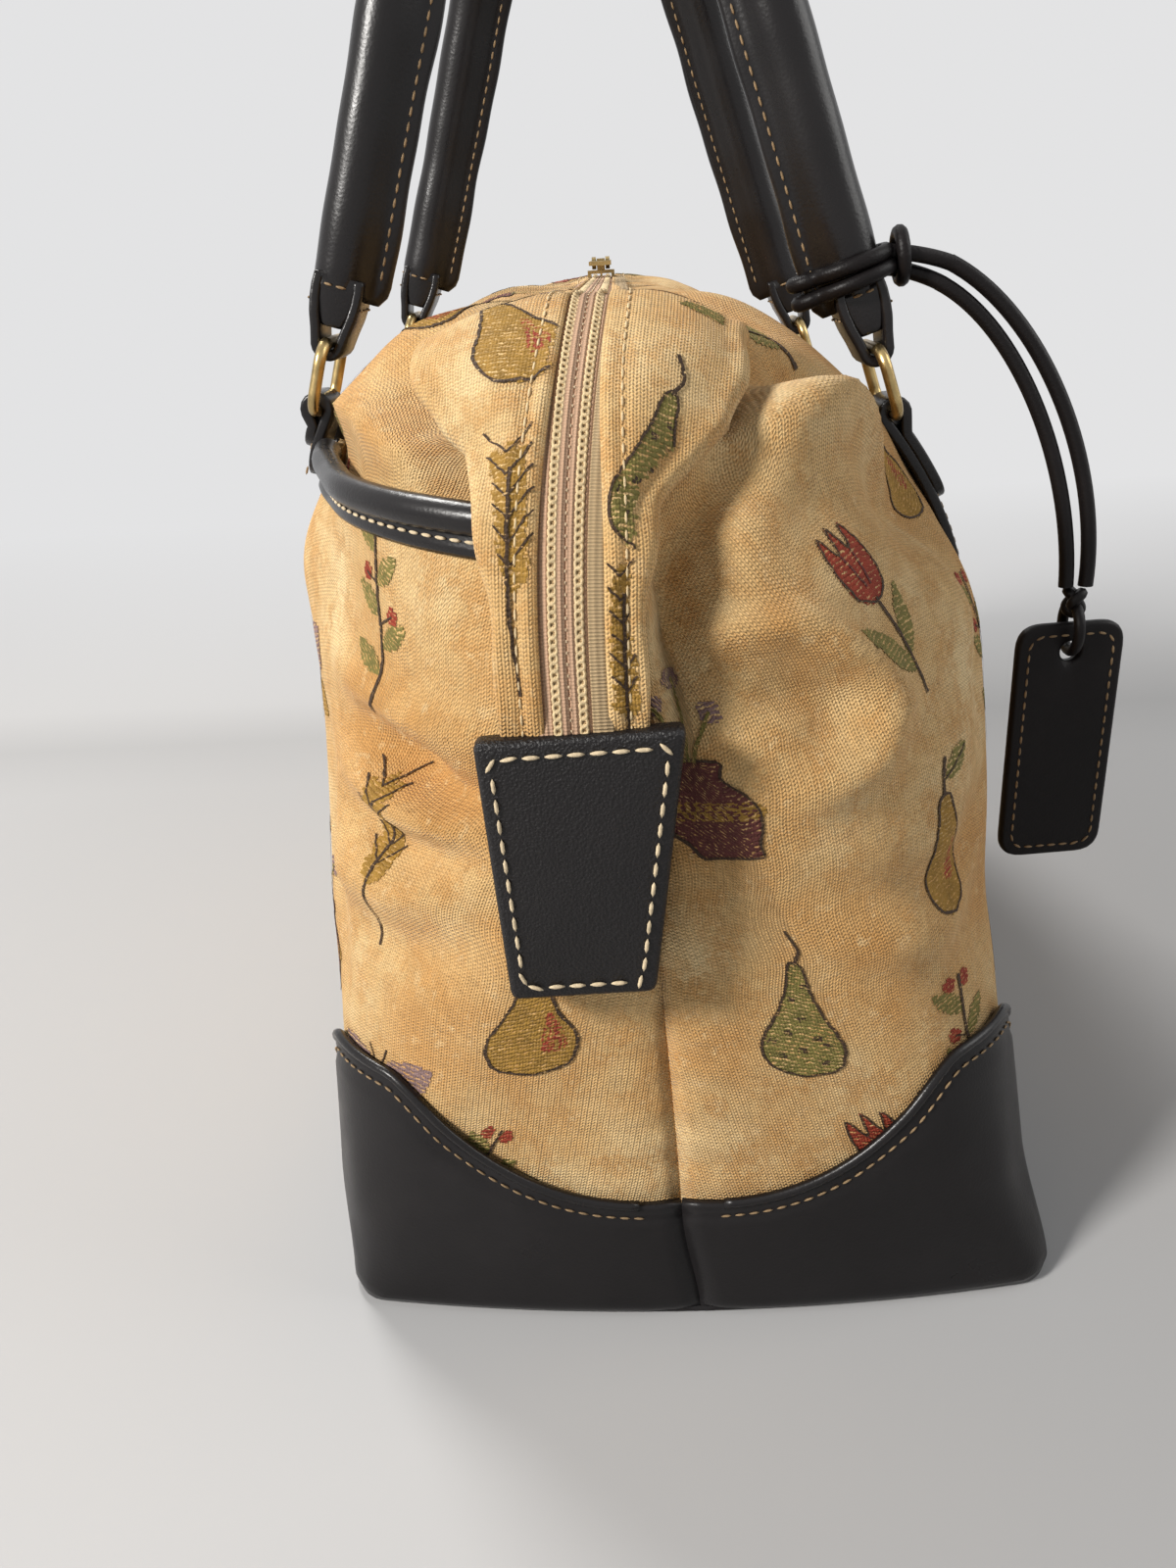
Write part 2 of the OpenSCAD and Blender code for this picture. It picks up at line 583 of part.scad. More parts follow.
module zip_tape_front() {
    color([0.5, 0.4, 0.36])
        tape(zip_y - zip_gap / 2 - tape_width, zip_y - zip_gap / 2);
}
module zip_tape_back() {
    color([0.5, 0.4, 0.36])
        tape(zip_y + zip_gap / 2, zip_y + zip_gap / 2 + tape_width);
}
module zip_coil_front() {
    color([0.6, 0.5, 0.42])
        coil(zip_y - zip_gap / 2 - coil_width, zip_y - zip_gap / 2);
}
module zip_coil_back() {
    color([0.6, 0.5, 0.42])
        coil(zip_y + zip_gap / 2, zip_y + zip_gap / 2 + coil_width);
}
module tail_near() {
    color([0.88, 0.74, 0.5])
        tail();
}
module tail_far() {
    color([0.88, 0.74, 0.5])
        to_far()
            tail();
}
module end_tab_near() {
    color([0.12, 0.11, 0.11])
        end_tab();
}
module end_tab_far() {
    color([0.12, 0.11, 0.11])
        to_far()
            end_tab();
}

// Slider: a plate over the coils, a plate under the tapes, and a web between them.
coil_top = bag_height + tape_gap + tape_wall + coil_height;
slider_half = zip_gap / 2 + coil_width + 0.4 + slider_wall;
pin_z = coil_top + 0.3 + slider_wall + pin_radius + 1.6;
module zip_slider() {
    color([0.72, 0.6, 0.36])
        translate([-slider_offset, zip_y, 0]) {
            translate([-slider_length / 2, -slider_half, coil_top + 0.3])
                cube([slider_length, 2 * slider_half, slider_wall]);
            translate([-slider_length / 2, -slider_half, bag_height - slider_wall])
                cube([slider_length, 2 * slider_half, slider_wall]);
            for (k = [-1, 1])
                translate([-slider_length / 2, k * (slider_half - slider_wall / 2) - slider_wall / 2,
                    bag_height + tape_gap + tape_wall + 0.3])
                    cube([slider_length, slider_wall, coil_height + 0.5]);
            translate([-slider_length / 4, -zip_gap / 2 + 0.3, bag_height - 0.2])
                cube([slider_length / 2, zip_gap - 0.6, coil_top - bag_height + 0.8]);
            translate([-2.4, -lug_half, coil_top + 0.3 + slider_wall - 0.2])
                cube([4.8, 2 * lug_half, pin_z - coil_top + 0.3]);
            translate([0, 0, pin_z])
                rotate([90, 0, 0])
                    cylinder(r = pin_radius, h = 2 * (lug_half + eye_width + 0.9), center = true, $fn = 32);
        }
}
module zip_puller() {
    eye = pin_radius + 1.3;
    color([0.74, 0.62, 0.38])
        translate([-slider_offset, zip_y, pin_z])
            difference() {
                union() {
                    for (k = [-1, 1])
                        translate([0, k * (lug_half + 0.3 + eye_width / 2), 0]) {
                            rotate([90, 0, 0])
                                cylinder(r = eye, h = eye_width, center = true, $fn = 48);
                            translate([0, -eye_width / 2, -puller_wall / 2])
                                cube([6.5, eye_width, puller_wall]);
                        }
                    translate([5, -puller_width / 2, -puller_wall / 2])
                        cube([puller_length - 5, puller_width, puller_wall]);
                }
                rotate([90, 0, 0])
                    cylinder(r = pin_bore, h = 4 * puller_width, center = true, $fn = 48);
                translate([puller_length - 5, 0, -puller_wall])
                    cylinder(r = 1.8, h = 2 * puller_wall, $fn = 32);
            }
}
module front_tab_near() {
    color([0.14, 0.12, 0.12])
        handle_tab(-1, foot_x);
}
module front_tab_far() {
    color([0.14, 0.12, 0.12])
        handle_tab(-1, -foot_x);
}
module back_tab_near() {
    color([0.14, 0.12, 0.12])
        handle_tab(1, foot_x);
}
module back_tab_far() {
    color([0.14, 0.12, 0.12])
        handle_tab(1, -foot_x);
}
module front_ring_near() {
    color([0.78, 0.66, 0.4])
        placed_ring(-1, foot_x);
}
module front_ring_far() {
    color([0.78, 0.66, 0.4])
        placed_ring(-1, -foot_x);
}
module back_ring_near() {
    color([0.78, 0.66, 0.4])
        placed_ring(1, foot_x);
}
module back_ring_far() {
    color([0.78, 0.66, 0.4])
        placed_ring(1, -foot_x);
}
module front_grip() {
    color([0.12, 0.1, 0.1])
        grip(-1);
}
module front_loop_near() {
    color([0.14, 0.12, 0.12])
        end_loop(-1, foot_x);
}
module front_loop_far() {
    color([0.14, 0.12, 0.12])
        end_loop(-1, -foot_x);
}
module back_grip() {
    color([0.12, 0.1, 0.1])
        grip(1);
}
module back_loop_near() {
    color([0.14, 0.12, 0.12])
        end_loop(1, foot_x);
}
module back_loop_far() {
    color([0.14, 0.12, 0.12])
        end_loop(1, -foot_x);
}
module lace_hitch() {
    mid = roll_start + 1 + hitch_width / 2;
    color([0.16, 0.13, 0.12])
        on_hinge(1) {
            translate([foot_x, 0, roll_start + 1])
                linear_extrude(height = hitch_width)
                    difference() {
                        foot_plan(1, hitch_wall);
                        foot_plan(1, layer_gap);
                    }
            hull() {
                translate([foot_x, roll_half_width + hitch_wall, mid])
                    sphere(r = 3, $fn = 20);
                translate([foot_x, hitch_out, hitch_knot_rise])
                    sphere(r = hitch_knot_radius, $fn = 24);
            }
        }
}
module lace_outer() {
    color([0.15, 0.12, 0.11])
        carried(lace_path(1), round_section(lace_diameter / 2, 8), [1, 0, 0]);
}
module lace_inner() {
    color([0.15, 0.12, 0.11])
        carried(lace_path(-1), round_section(lace_diameter / 2, 8), [1, 0, 0]);
}
function knot_loop_point(t) = tag_hole + [knot_loop_radius * sin(t), 0, knot_loop_radius * (1 - cos(t))];
module lace_knot() {
    color([0.15, 0.12, 0.11]) {
        carried([for (k = [0:20]) knot_loop_point(-165 + 16.5 * k)],
            round_section(lace_diameter / 2, 8), [0, 1, 0]);
        translate(knot_centre)
            sphere(r = knot_radius, $fn = 40);
    }
}
function tag_plan() = let (a = tag_width / 2 - tag_corner, b = tag_length - tag_corner, c = tag_corner)
    concat([for (k = [0:5]) [a + c * cos(18 * k), -c + c * sin(18 * k)]],
        [for (k = [0:5]) [-a - c * sin(18 * k), -c + c * cos(18 * k)]],
        [for (k = [0:5]) [-a - c * cos(18 * k), -b - c * sin(18 * k)]],
        [for (k = [0:5]) [a + c * sin(18 * k), -b - c * cos(18 * k)]]);
module hang_tag() {
    color([0.1, 0.09, 0.09])
        translate(tag_hole)
            difference() {
                translate([-tag_wall / 2, 0, tag_hole_inset])
                    rotate([90, 0, 90])
                        linear_extrude(height = tag_wall)
                            polygon(tag_plan());
                rotate([0, 90, 0])
                    cylinder(r = tag_hole_radius, h = 2 * tag_wall, center = true, $fn = 48);
            }
}

leather_bottom();
base_board();
leather_front();
leather_back();
front_panel();
back_panel();
front_pocket();
pocket_piping();
zip_tape_front();
zip_tape_back();
zip_coil_front();
zip_coil_back();
tail_near();
tail_far();
end_tab_near();
end_tab_far();
zip_slider();
zip_puller();
front_tab_near();
front_tab_far();
back_tab_near();
back_tab_far();
front_ring_near();
front_ring_far();
back_ring_near();
back_ring_far();
front_grip();
front_loop_near();
front_loop_far();
back_grip();
back_loop_near();
back_loop_far();
lace_hitch();
lace_outer();
lace_inner();
lace_knot();
hang_tag();
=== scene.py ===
"""Looks of a canvas shoulder bag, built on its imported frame."""

import json
import math
from types import SimpleNamespace

import bpy
import numpy as np
from bpy.props import FloatProperty, FloatVectorProperty, PointerProperty
from mathutils import Matrix, Vector


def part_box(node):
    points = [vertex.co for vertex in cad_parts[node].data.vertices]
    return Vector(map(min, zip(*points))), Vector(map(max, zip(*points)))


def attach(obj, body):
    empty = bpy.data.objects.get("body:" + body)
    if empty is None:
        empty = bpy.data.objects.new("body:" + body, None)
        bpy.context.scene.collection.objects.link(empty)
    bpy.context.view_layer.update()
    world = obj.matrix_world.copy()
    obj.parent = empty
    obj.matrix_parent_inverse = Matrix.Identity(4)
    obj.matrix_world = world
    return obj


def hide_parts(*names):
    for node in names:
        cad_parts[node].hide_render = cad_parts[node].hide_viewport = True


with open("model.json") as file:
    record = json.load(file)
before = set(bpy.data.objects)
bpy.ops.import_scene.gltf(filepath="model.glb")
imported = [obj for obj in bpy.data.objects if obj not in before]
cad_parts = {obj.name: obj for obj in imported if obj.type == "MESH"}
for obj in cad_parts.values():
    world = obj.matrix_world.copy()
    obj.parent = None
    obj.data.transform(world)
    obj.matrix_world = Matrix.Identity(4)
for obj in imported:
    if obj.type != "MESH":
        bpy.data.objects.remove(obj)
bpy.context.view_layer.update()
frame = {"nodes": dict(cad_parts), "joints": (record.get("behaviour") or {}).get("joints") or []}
JOINTS = {j["name"]: j for j in frame["joints"]}

bl_info = {
    "name": "Canvas Shoulder Bag",
    "version": (1, 0, 0),
    "blender": (4, 5, 0),
    "location": "View3D > Sidebar > Bag",
    "description": "Cloth, leather, zip and stitching of a canvas shoulder bag",
    "category": "Add Mesh",
}


def length(name, words, value):
    return FloatProperty(name=name, description=words, default=value, unit="LENGTH", precision=4)


def ratio(name, words, value):
    return FloatProperty(name=name, description=words, default=value)


def colour(name, words, value):
    return FloatVectorProperty(name=name, description=words, default=value, subtype="COLOR", size=3, min=0, max=1)


class BagShape(bpy.types.PropertyGroup):
    """Sizes of the bag, the same as those of its frame."""

    bag_length: length("Length", "Length of the base", 0.34)
    bag_depth: length("Depth", "Depth of the base", 0.176)
    bag_height: length("Height", "Height of the zip above the floor", 0.236)
    shoulder_height: length("Shoulder height", "Height where the walls close in", 0.15)
    shoulder_length: length("Shoulder length", "Length at the shoulder", 0.33)
    shoulder_depth: length("Shoulder depth", "Depth at the shoulder", 0.164)
    base_corner: length("Base corner", "Corner radius at the base", 0.006)
    shoulder_corner: length("Shoulder corner", "Corner radius at the shoulder", 0.072)
    end_bow: length("End bow", "How far the end walls bow out", 0.007)
    side_bow: length("Side bow", "How far the long walls bow out", 0.006)
    top_lean: length("Lean", "How far the top leans to the pocket side", 0.015)
    zip_half: length("Zip half length", "Half the length of the zip opening", 0.12)
    mouth_half: length("Mouth half width", "Half the width of the zip opening", 0.0075)
    base_dip: length("Base dip", "Leather height at its low parts", 0.034)
    base_peak: length("Base peak", "Leather height at its corner peaks", 0.07)
    scallop_reach: length("Scallop reach", "Distance from a peak to the low part", 0.084)
    pocket_height: length("Pocket height", "Height of the pocket edge at the handles", 0.203)
    pocket_end_height: length("Pocket end height", "Height of the pocket edge at the ends", 0.189)
    handle_reach: length("Handle reach", "From the ring hinge to the top of the roll", 0.2)
    handle_span: length("Handle span", "Distance between the feet of a handle", 0.14)
    front_fullness: ratio("Front fullness", "Squareness of the pocket-side shoulder", 2.6)
    back_fullness: ratio("Back fullness", "Squareness of the other shoulder", 1.8)


class BagColours(bpy.types.PropertyGroup):
    """Colours of the cloth, leather, thread and metal."""

    canvas_mid: colour("Canvas", "Main colour of the canvas", (0.66, 0.425, 0.18))
    canvas_pale: colour("Canvas pale", "Pale patches of the canvas", (0.78, 0.58, 0.305))
    canvas_ochre: colour("Canvas ochre", "Ochre patches of the canvas", (0.58, 0.305, 0.097))
    base_leather: colour("Base leather", "Leather of the base", (0.015, 0.0135, 0.014))
    trim_leather: colour("Trim leather", "Leather of handles and trim", (0.008, 0.0066, 0.0068))
    tan_thread: colour("Tan thread", "Thread on the dark leather", (0.31, 0.205, 0.105))
    cream_thread: colour("Cream thread", "Thread of the end tab and piping", (0.72, 0.58, 0.38))
    canvas_thread: colour("Canvas thread", "Topstitching on the canvas", (0.76, 0.58, 0.33))
    brass: colour("Brass", "Metal of the rings and slider", (0.52, 0.38, 0.17))
    zip_tape: colour("Zip tape", "Woven tape of the zip", (0.5, 0.315, 0.2))
    tape_edge: colour("Tape edge", "Pale woven edge of the zip", (0.46, 0.33, 0.18))
    brick: colour("Brick", "Red of the woven pattern", (0.3, 0.045, 0.022))
    wine: colour("Wine", "Wine brown of the woven pattern", (0.12, 0.035, 0.03))
    olive: colour("Olive", "Green of the woven pattern", (0.2, 0.17, 0.045))
    gold: colour("Gold", "Gold of the woven pattern", (0.34, 0.19, 0.035))
    umber: colour("Umber", "Dark lines of the woven pattern", (0.06, 0.035, 0.02))
    mauve: colour("Mauve", "Grey mauve of the woven pattern", (0.25, 0.16, 0.15))
    floor: colour("Floor", "Floor and backdrop", (0.63, 0.63, 0.635))


class BagTrim(bpy.types.PropertyGroup):
    """Sizes of the stitching and the weave."""

    leather_pitch: length("Leather stitch pitch", "Distance between stitches on leather", 0.0034)
    leather_stitch: length("Leather stitch", "Length of a stitch on leather", 0.0026)
    thread: length("Thread", "Thickness of the thread", 0.0007)
    bold_pitch: length("Bold stitch pitch", "Distance between stitches on the end tab", 0.0044)
    bold_stitch: length("Bold stitch", "Length of a stitch on the end tab", 0.0036)
    bold_thread: length("Bold thread", "Thickness of the thread on the end tab", 0.00095)
    weave: length("Weave", "Distance between threads of the canvas", 0.00085)


# Steps of u along half an end, round a corner and along half a long wall.
ENDS, TURNS, LONGS = 4, 5, 7
QUARTER = ENDS + TURNS + LONGS
# Lengths in millimetres, turns in radians.
TAIL_WALL, TAIL_CLEARANCE, LAYER_GAP, TAPE_GAP, TAPE_WALL = 1.2, 0.4, 0.4, 0.3, 0.8
CANVAS_WALL, LEATHER_WALL, FLANGE_WALL, PIPING_RADIUS = 1.6, 2.0, 1.0, 3.8
CLOTH_STEP, LEATHER_STEP = 2.3, 2.4
ZIP_LOW = 143.0
KNOT_RISE = 14.0
MARGIN_STITCH = 4.3
ROLL_REACH, ROLL_START = 12.5, 31.0
BASE_STANDOFF, BASE_STITCH_DOWN = 2.4, 3.6
TAB_TURN, TAG_TURN = math.radians(1.5), math.radians(5)
TAG_DROP, TAG_HOLE = (0, -27.5), 2.95
# Width at the top and the bottom, height and corner radius.
TAG_OUTLINE, TAG_STITCH_LINE = (30, 30, 71, 7.0), (23.6, 23.6, 64.6, 4.5)
MM, METRE = 0.001, 1000
# Pitch, length and thickness of stitches, in metres.
PIPING_ROW, CHAIN_ROW = (0.0037, 0.003, 0.0008), (0.0016, 0.0019, 0.0014)
CENTRE_ROW, MARGIN_ROW = (0.0022, 0.0008, 0.0003), (0.0034, 0.0026, 0.0006)
# Finishes and grids made so far, by name.
MADE = {}


def sizes():
    """The shape's lengths in millimetres."""
    p = bpy.context.scene.bag_shape
    known = {k: getattr(p, k) * METRE for k in p.__annotations__ if not k.endswith("fullness")}
    return SimpleNamespace(front_fullness=p.front_fullness, back_fullness=p.back_fullness, **known)


def paints():
    return bpy.context.scene.bag_colours


def trims():
    return bpy.context.scene.bag_trim


def mix(a, b, t):
    return a + (b - a) * t


def ease(t):
    return 1 - (1 - t) * (1 - t)


def smooth(t):
    t = np.clip(t, 0, 1)
    return t * t * (3 - 2 * t)


def unit(v):
    return v / np.maximum(np.linalg.norm(v, axis=-1, keepdims=True), 1e-9)


def travel(path):
    """Distance along a path to each of its points."""
    return np.concatenate([[0], np.cumsum(np.linalg.norm(np.diff(path, axis=0), axis=1))])


def level_z(S, w):
    over = S.shoulder_height + (S.bag_height - S.shoulder_height) * np.sin(np.pi / 2 * (w - 1))
    return np.where(w <= 1, w * S.shoulder_height, over)


def level_of(S, z):
    z = np.asarray(z, float)
    over = np.clip((z - S.shoulder_height) / (S.bag_height - S.shoulder_height), 0, 1)
    return np.where(z <= S.shoulder_height, z / S.shoulder_height, 1 + np.arcsin(over) / (np.pi / 2))


def close_in(w):
    return np.where(w <= 1, 1.0, np.cos(np.pi / 2 * (w - 1)))


def half_length(S, w):
    wall = mix(S.bag_length / 2, S.shoulder_length / 2, ease(w))
    return np.where(w <= 1, wall, S.zip_half + (S.shoulder_length / 2 - S.zip_half) * close_in(w))


def half_depth(S, side, w):
    n = S.front_fullness if side < 0 else S.back_fullness
    rise = np.clip(np.sin(np.pi / 2 * (np.maximum(w, 1) - 1)), 0, 1)
    bend = np.maximum(0, 1 - rise**n) ** (1 / n)
    wall = mix(S.bag_depth / 2, S.shoulder_depth / 2, ease(w))
    return np.where(w <= 1, wall, S.mouth_half + (S.shoulder_depth / 2 - S.mouth_half) * bend)


def corner_radius(S, w):
    small = S.mouth_half - 2.5
    rise = np.clip(np.sin(np.pi / 2 * (np.maximum(w, 1) - 1)), 0, 1)
    over = small + (S.shoulder_corner - small) * np.maximum(0, 1 - rise**3) ** (1 / 3)
    return np.where(w <= 1, mix(S.base_corner, S.shoulder_corner, np.clip(w, 0, 1)), over)


def lean_y(S, z):
    return -S.top_lean * (np.maximum(z, 0) / S.bag_height) ** 1.6


def skin(S, side, u, w):
    """Points of the bag's surface: u runs round one half, w runs up the wall and over the shoulder."""
    u, w = np.broadcast_arrays(np.asarray(u, float), np.asarray(w, float))
    q = np.where(u <= QUARTER, u, 2 * QUARTER - u)
    a, b = half_length(S, w), half_depth(S, side, w)
    r = np.minimum(corner_radius(S, w), 0.92 * b)
    t = np.pi / 2 * (q - ENDS) / TURNS
    parts = [q <= ENDS, q <= ENDS + TURNS]
    x = np.select(parts, [a, a - r + r * np.cos(t)], (a - r) * (1 - (q - ENDS - TURNS) / LONGS))
    y = np.select(parts, [(b - r) * q / ENDS, b - r + r * np.sin(t)], b)
    out_x = x + S.end_bow * close_in(w) * (1 - (y / b) ** 2)
    out_y = y + S.side_bow * close_in(w) * (1 - (x / a) ** 2)
    z = level_z(S, w)
    return np.stack([np.where(u <= QUARTER, out_x, -out_x), side * out_y + lean_y(S, z), z], -1)


def skin_out(S, side, u, w):
    du = skin(S, side, u + 0.04, w) - skin(S, side, u - 0.04, w)
    dw = skin(S, side, u, w + 0.01) - skin(S, side, u, w - 0.01)
    return side * unit(np.cross(du, dw))


def grid_out(P, side):
    """Outward directions of a moved grid."""
    return side * unit(np.cross(np.gradient(P, axis=0), np.gradient(P, axis=1)))


def half_columns(S, side, step):
    """Places round one half at even distances: u and the distance from the near seam."""
    u = np.linspace(0, 2 * QUARTER, 3201)
    P = skin(S, side, u, np.full_like(u, 0.7))
    s = travel(P)
    even = np.linspace(0, s[-1], int(round(s[-1] / step)) + 1)
    return np.interp(even, s, u), even


def climb(S, side):
    """Levels of the wall and the distance up the middle of one side to each."""
    w = np.linspace(0, 2, 801)
    P = skin(S, side, np.full_like(w, QUARTER), w)
    return w, travel(P)


def panel_grid(S, side, low_z, high_w, step):
    """A grid over one half from a height up to a level for each column."""
    u, s = half_columns(S, side, step)
    w, up = climb(S, side)
    low = np.interp(level_of(S, low_z) + 0 * u, w, up)
    high = np.interp(high_w + 0 * u, w, up)
    rows = int(round((high.max() - low.min()) / step))
    a = low[:, None] + (high - low)[:, None] * np.linspace(0, 1, rows + 1)[None, :]
    W = np.interp(a, up, w)
    U = np.repeat(u[:, None], rows + 1, 1)
    return SimpleNamespace(side=side, s=np.repeat(s[:, None], rows + 1, 1), a=a, w=W, u=U, P=skin(S, side, U, W),
                           N=skin_out(S, side, U, W), z=level_z(S, W), total=s[-1])


def cloth_map(P):
    """Distances over a grid in metres, measured from its middle column, for weave and pattern."""
    n, m = P.shape[:2]
    across = np.concatenate([np.zeros((1, m)), np.cumsum(np.linalg.norm(np.diff(P, axis=0), axis=2), 0)], 0)
    up = np.concatenate([np.zeros((n, 1)), np.cumsum(np.linalg.norm(np.diff(P, axis=1), axis=2), 1)], 1)
    across -= across[n // 2][None, :]
    return np.stack([across, up], -1) * MM


def line_gap(points, s, a):
    """Distance of each place from a line through points, and how far along the line it lies, 0 to 1."""
    best, along = np.full(s.shape, 1e9), np.zeros(s.shape)
    pts = np.asarray(points, float)
    run = travel(pts)
    for i in range(len(pts) - 1):
        d = pts[i + 1] - pts[i]
        t = np.clip(((s - pts[i, 0]) * d[0] + (a - pts[i, 1]) * d[1]) / (d @ d), 0, 1)
        gap = np.hypot(s - pts[i, 0] - t * d[0], a - pts[i, 1] - t * d[1])
        near = gap < best
        best = np.where(near, gap, best)
        along = np.where(near, (run[i] + t * (run[i + 1] - run[i])) / run[-1], along)
    return best, along


def fold(points, depth, width, s, a):
    """A soft fold along a line, fading at both ends."""
    gap, along = line_gap(points, s, a)
    return depth * np.exp(-((gap / width) ** 2)) * np.sin(np.pi * np.clip(along * 0.84 + 0.08, 0, 1)) ** 0.7


def ripples(s, z, seed, reach=(26, 95), amount=0.55):
    """Gentle unevenness of loose cloth."""
    rng = np.random.RandomState(seed)
    total = np.zeros(s.shape)
    for _ in range(26):
        size = rng.uniform(*reach)
        turn, shift = rng.uniform(0, 2 * np.pi, 2)
        total += amount * size / reach[1] * np.sin(2 * np.pi / size * (s * np.cos(turn) + z * np.sin(turn)) + shift)
    return total


def build_mesh(name, points, faces, materials, uv=None, slots=None):
    """A mesh object from millimetre points."""
    mesh = bpy.data.meshes.new(name)
    mesh.from_pydata((np.asarray(points, float) * MM).tolist(), [], [list(map(int, f)) for f in faces])
    if uv is not None:
        layer = mesh.uv_layers.new(name="Cloth")
        loops = np.zeros(len(mesh.loops), np.int32)
        mesh.loops.foreach_get("vertex_index", loops)
        layer.data.foreach_set("uv", np.asarray(uv, np.float32).reshape(-1, 2)[loops].ravel())
    for m in materials:
        mesh.materials.append(m)
    mesh.polygons.foreach_set("use_smooth", [True] * len(mesh.polygons))
    if slots is not None:
        mesh.polygons.foreach_set("material_index", slots)
    mesh.validate()
    obj = bpy.data.objects.new(name, mesh)
    bpy.context.scene.collection.objects.link(obj)
    return obj


def quads(n, m, flip=False):
    """Faces of an n by m grid of points, stored row by row."""
    i, j = (k.ravel() for k in np.meshgrid(np.arange(n - 1), np.arange(m - 1), indexing="ij"))
    f = np.stack([i * m + j, (i + 1) * m + j, (i + 1) * m + j + 1, i * m + j + 1], 1)
    return f[:, ::-1] if flip else f


def plain(obj):
    """Turns modifiers into plain mesh."""
    made = bpy.data.meshes.new_from_object(obj.evaluated_get(bpy.context.evaluated_depsgraph_get()))
    obj.modifiers.clear()
    old, obj.data = obj.data, made
    bpy.data.meshes.remove(old)
    return obj


def sheet_piece(name, P, side, wall, materials, uv=None):
    """A grid as cloth or leather with a wall thickness on its inside."""
    n, m = P.shape[:2]
    obj = build_mesh(name, P.reshape(-1, 3), quads(n, m, flip=side < 0), materials, uv)
    made = obj.modifiers.new("Wall", "SOLIDIFY")
    made.thickness, made.offset, made.use_even_offset = wall * MM, -1, False
    return plain(obj)


def ring_faces(n, k, capped):
    """Faces that join n rings of k points; caps close on two points stored after the last ring."""
    i, j = (v.ravel() for v in np.meshgrid(np.arange(n - 1), np.arange(k), indexing="ij"))
    jj = (j + 1) % k
    faces = np.stack([i * k + j, i * k + jj, (i + 1) * k + jj, (i + 1) * k + j], 1).tolist()
    if capped:
        last = (n - 1) * k
        faces += [[n * k, (j + 1) % k, j] for j in range(k)]
        faces += [[n * k + 1, last + j, last + (j + 1) % k] for j in range(k)]
    return faces


def loft(name, rings, materials, caps=True, uv=None):
    """Rings of points joined into a closed skin."""
    R = np.asarray(rings, float)
    n, k = R.shape[:2]
    points = R.reshape(-1, 3)
    if caps:
        points = np.concatenate([points, [points[:k].mean(0), points[-k:].mean(0)]])
        if uv is not None:
            uv = np.concatenate([np.asarray(uv).reshape(-1, 2), [uv[0].mean(0), uv[-1].mean(0)]])
    return build_mesh(name, points, ring_faces(n, k, caps), materials, uv)


def tangents(path):
    return unit(np.gradient(np.asarray(path, float), axis=0))


def frames(path, ref):
    """Two directions square to a path, the first held near ref."""
    t = tangents(path)
    ref = np.broadcast_to(np.asarray(ref, float), t.shape)
    e = unit(ref - (ref * t).sum(-1, keepdims=True) * t)
    return e, np.cross(t, e)


def swept(path, section, e, f):
    """A section on two directions at each point of a path, as rings; it may change from ring to ring."""
    sec = np.asarray(section, float)
    if sec.ndim == 2:
        sec = np.broadcast_to(sec, (len(path),) + sec.shape)
    return path[:, None] + sec[..., :1] * e[:, None] + sec[..., 1:] * f[:, None]


def carried(path, section, ref):
    """A section carried along a path with its first axis near ref."""
    path = np.asarray(path, float)
    return swept(path, section, *frames(path, ref))


def run_map(rings):
    """Cloth map for lofted rings: round and along, in metres."""
    R = np.asarray(rings)
    along = travel(R.mean(1))
    closed = np.concatenate([R, R[:, :1]], 1)
    steps = np.linalg.norm(np.diff(closed, axis=1), axis=2)
    around = np.concatenate([np.zeros((len(R), 1)), np.cumsum(steps, 1)], 1)[:, :-1]
    return np.stack([around, np.repeat(along[:, None], R.shape[1], 1)], -1) * MM


def circle(r, n, start=0.0):
    t = start + 2 * np.pi * np.arange(n) / n
    return np.stack([r * np.cos(t), r * np.sin(t)], 1)


def soft_box(c0, c1, h0, h1, r, k=4):
    """A rounded rectangle section, counter-clockwise."""
    r = min(r, (c1 - c0) / 2 - 1e-3, (h1 - h0) / 2 - 1e-3)
    t = np.linspace(0, np.pi / 2, k)
    corners = [(c1 - r, h1 - r, 0), (c0 + r, h1 - r, 1), (c0 + r, h0 + r, 2), (c1 - r, h0 + r, 3)]
    return np.concatenate([np.stack([x + r * np.cos(t + q * np.pi / 2), y + r * np.sin(t + q * np.pi / 2)], 1)
                           for x, y, q in corners])


def resampled(path, step):
    path = np.asarray(path, float)
    run = travel(path)
    even = np.linspace(0, run[-1], max(2, int(round(run[-1] / step)) + 1))
    return np.stack([np.interp(even, run, path[:, k]) for k in range(path.shape[1])], 1)


def fill(tree, node, **inputs):
    """Sets a node's inputs by name, or by number as i0, i1; each is a value or a socket to join."""
    for key, value in inputs.items():
        numbered = key[0] == "i" and key[1:].isdigit()
        socket = node.inputs[int(key[1:]) if numbered else key.replace("_", " ")]
        if isinstance(value, bpy.types.NodeSocket):
            tree.links.new(value, socket)
        else:
            socket.default_value = value
    return node


def put(tree, kind, settings=None, **inputs):
    """Adds a node."""
    node = tree.nodes.new(kind)
    for key, value in (settings or {}).items():
        setattr(node, key, value)
    return fill(tree, node, **inputs)


def maths(tree, what, a, b=0.0, c=0.0):
    return put(tree, "ShaderNodeMath", {"operation": what}, i0=a, i1=b, i2=c).outputs[0]


def blended(tree, factor, a, b, how="MIX"):
    settings = {"data_type": "RGBA", "blend_type": how}
    return put(tree, "ShaderNodeMix", settings, i0=factor, i6=a, i7=b).outputs[2]


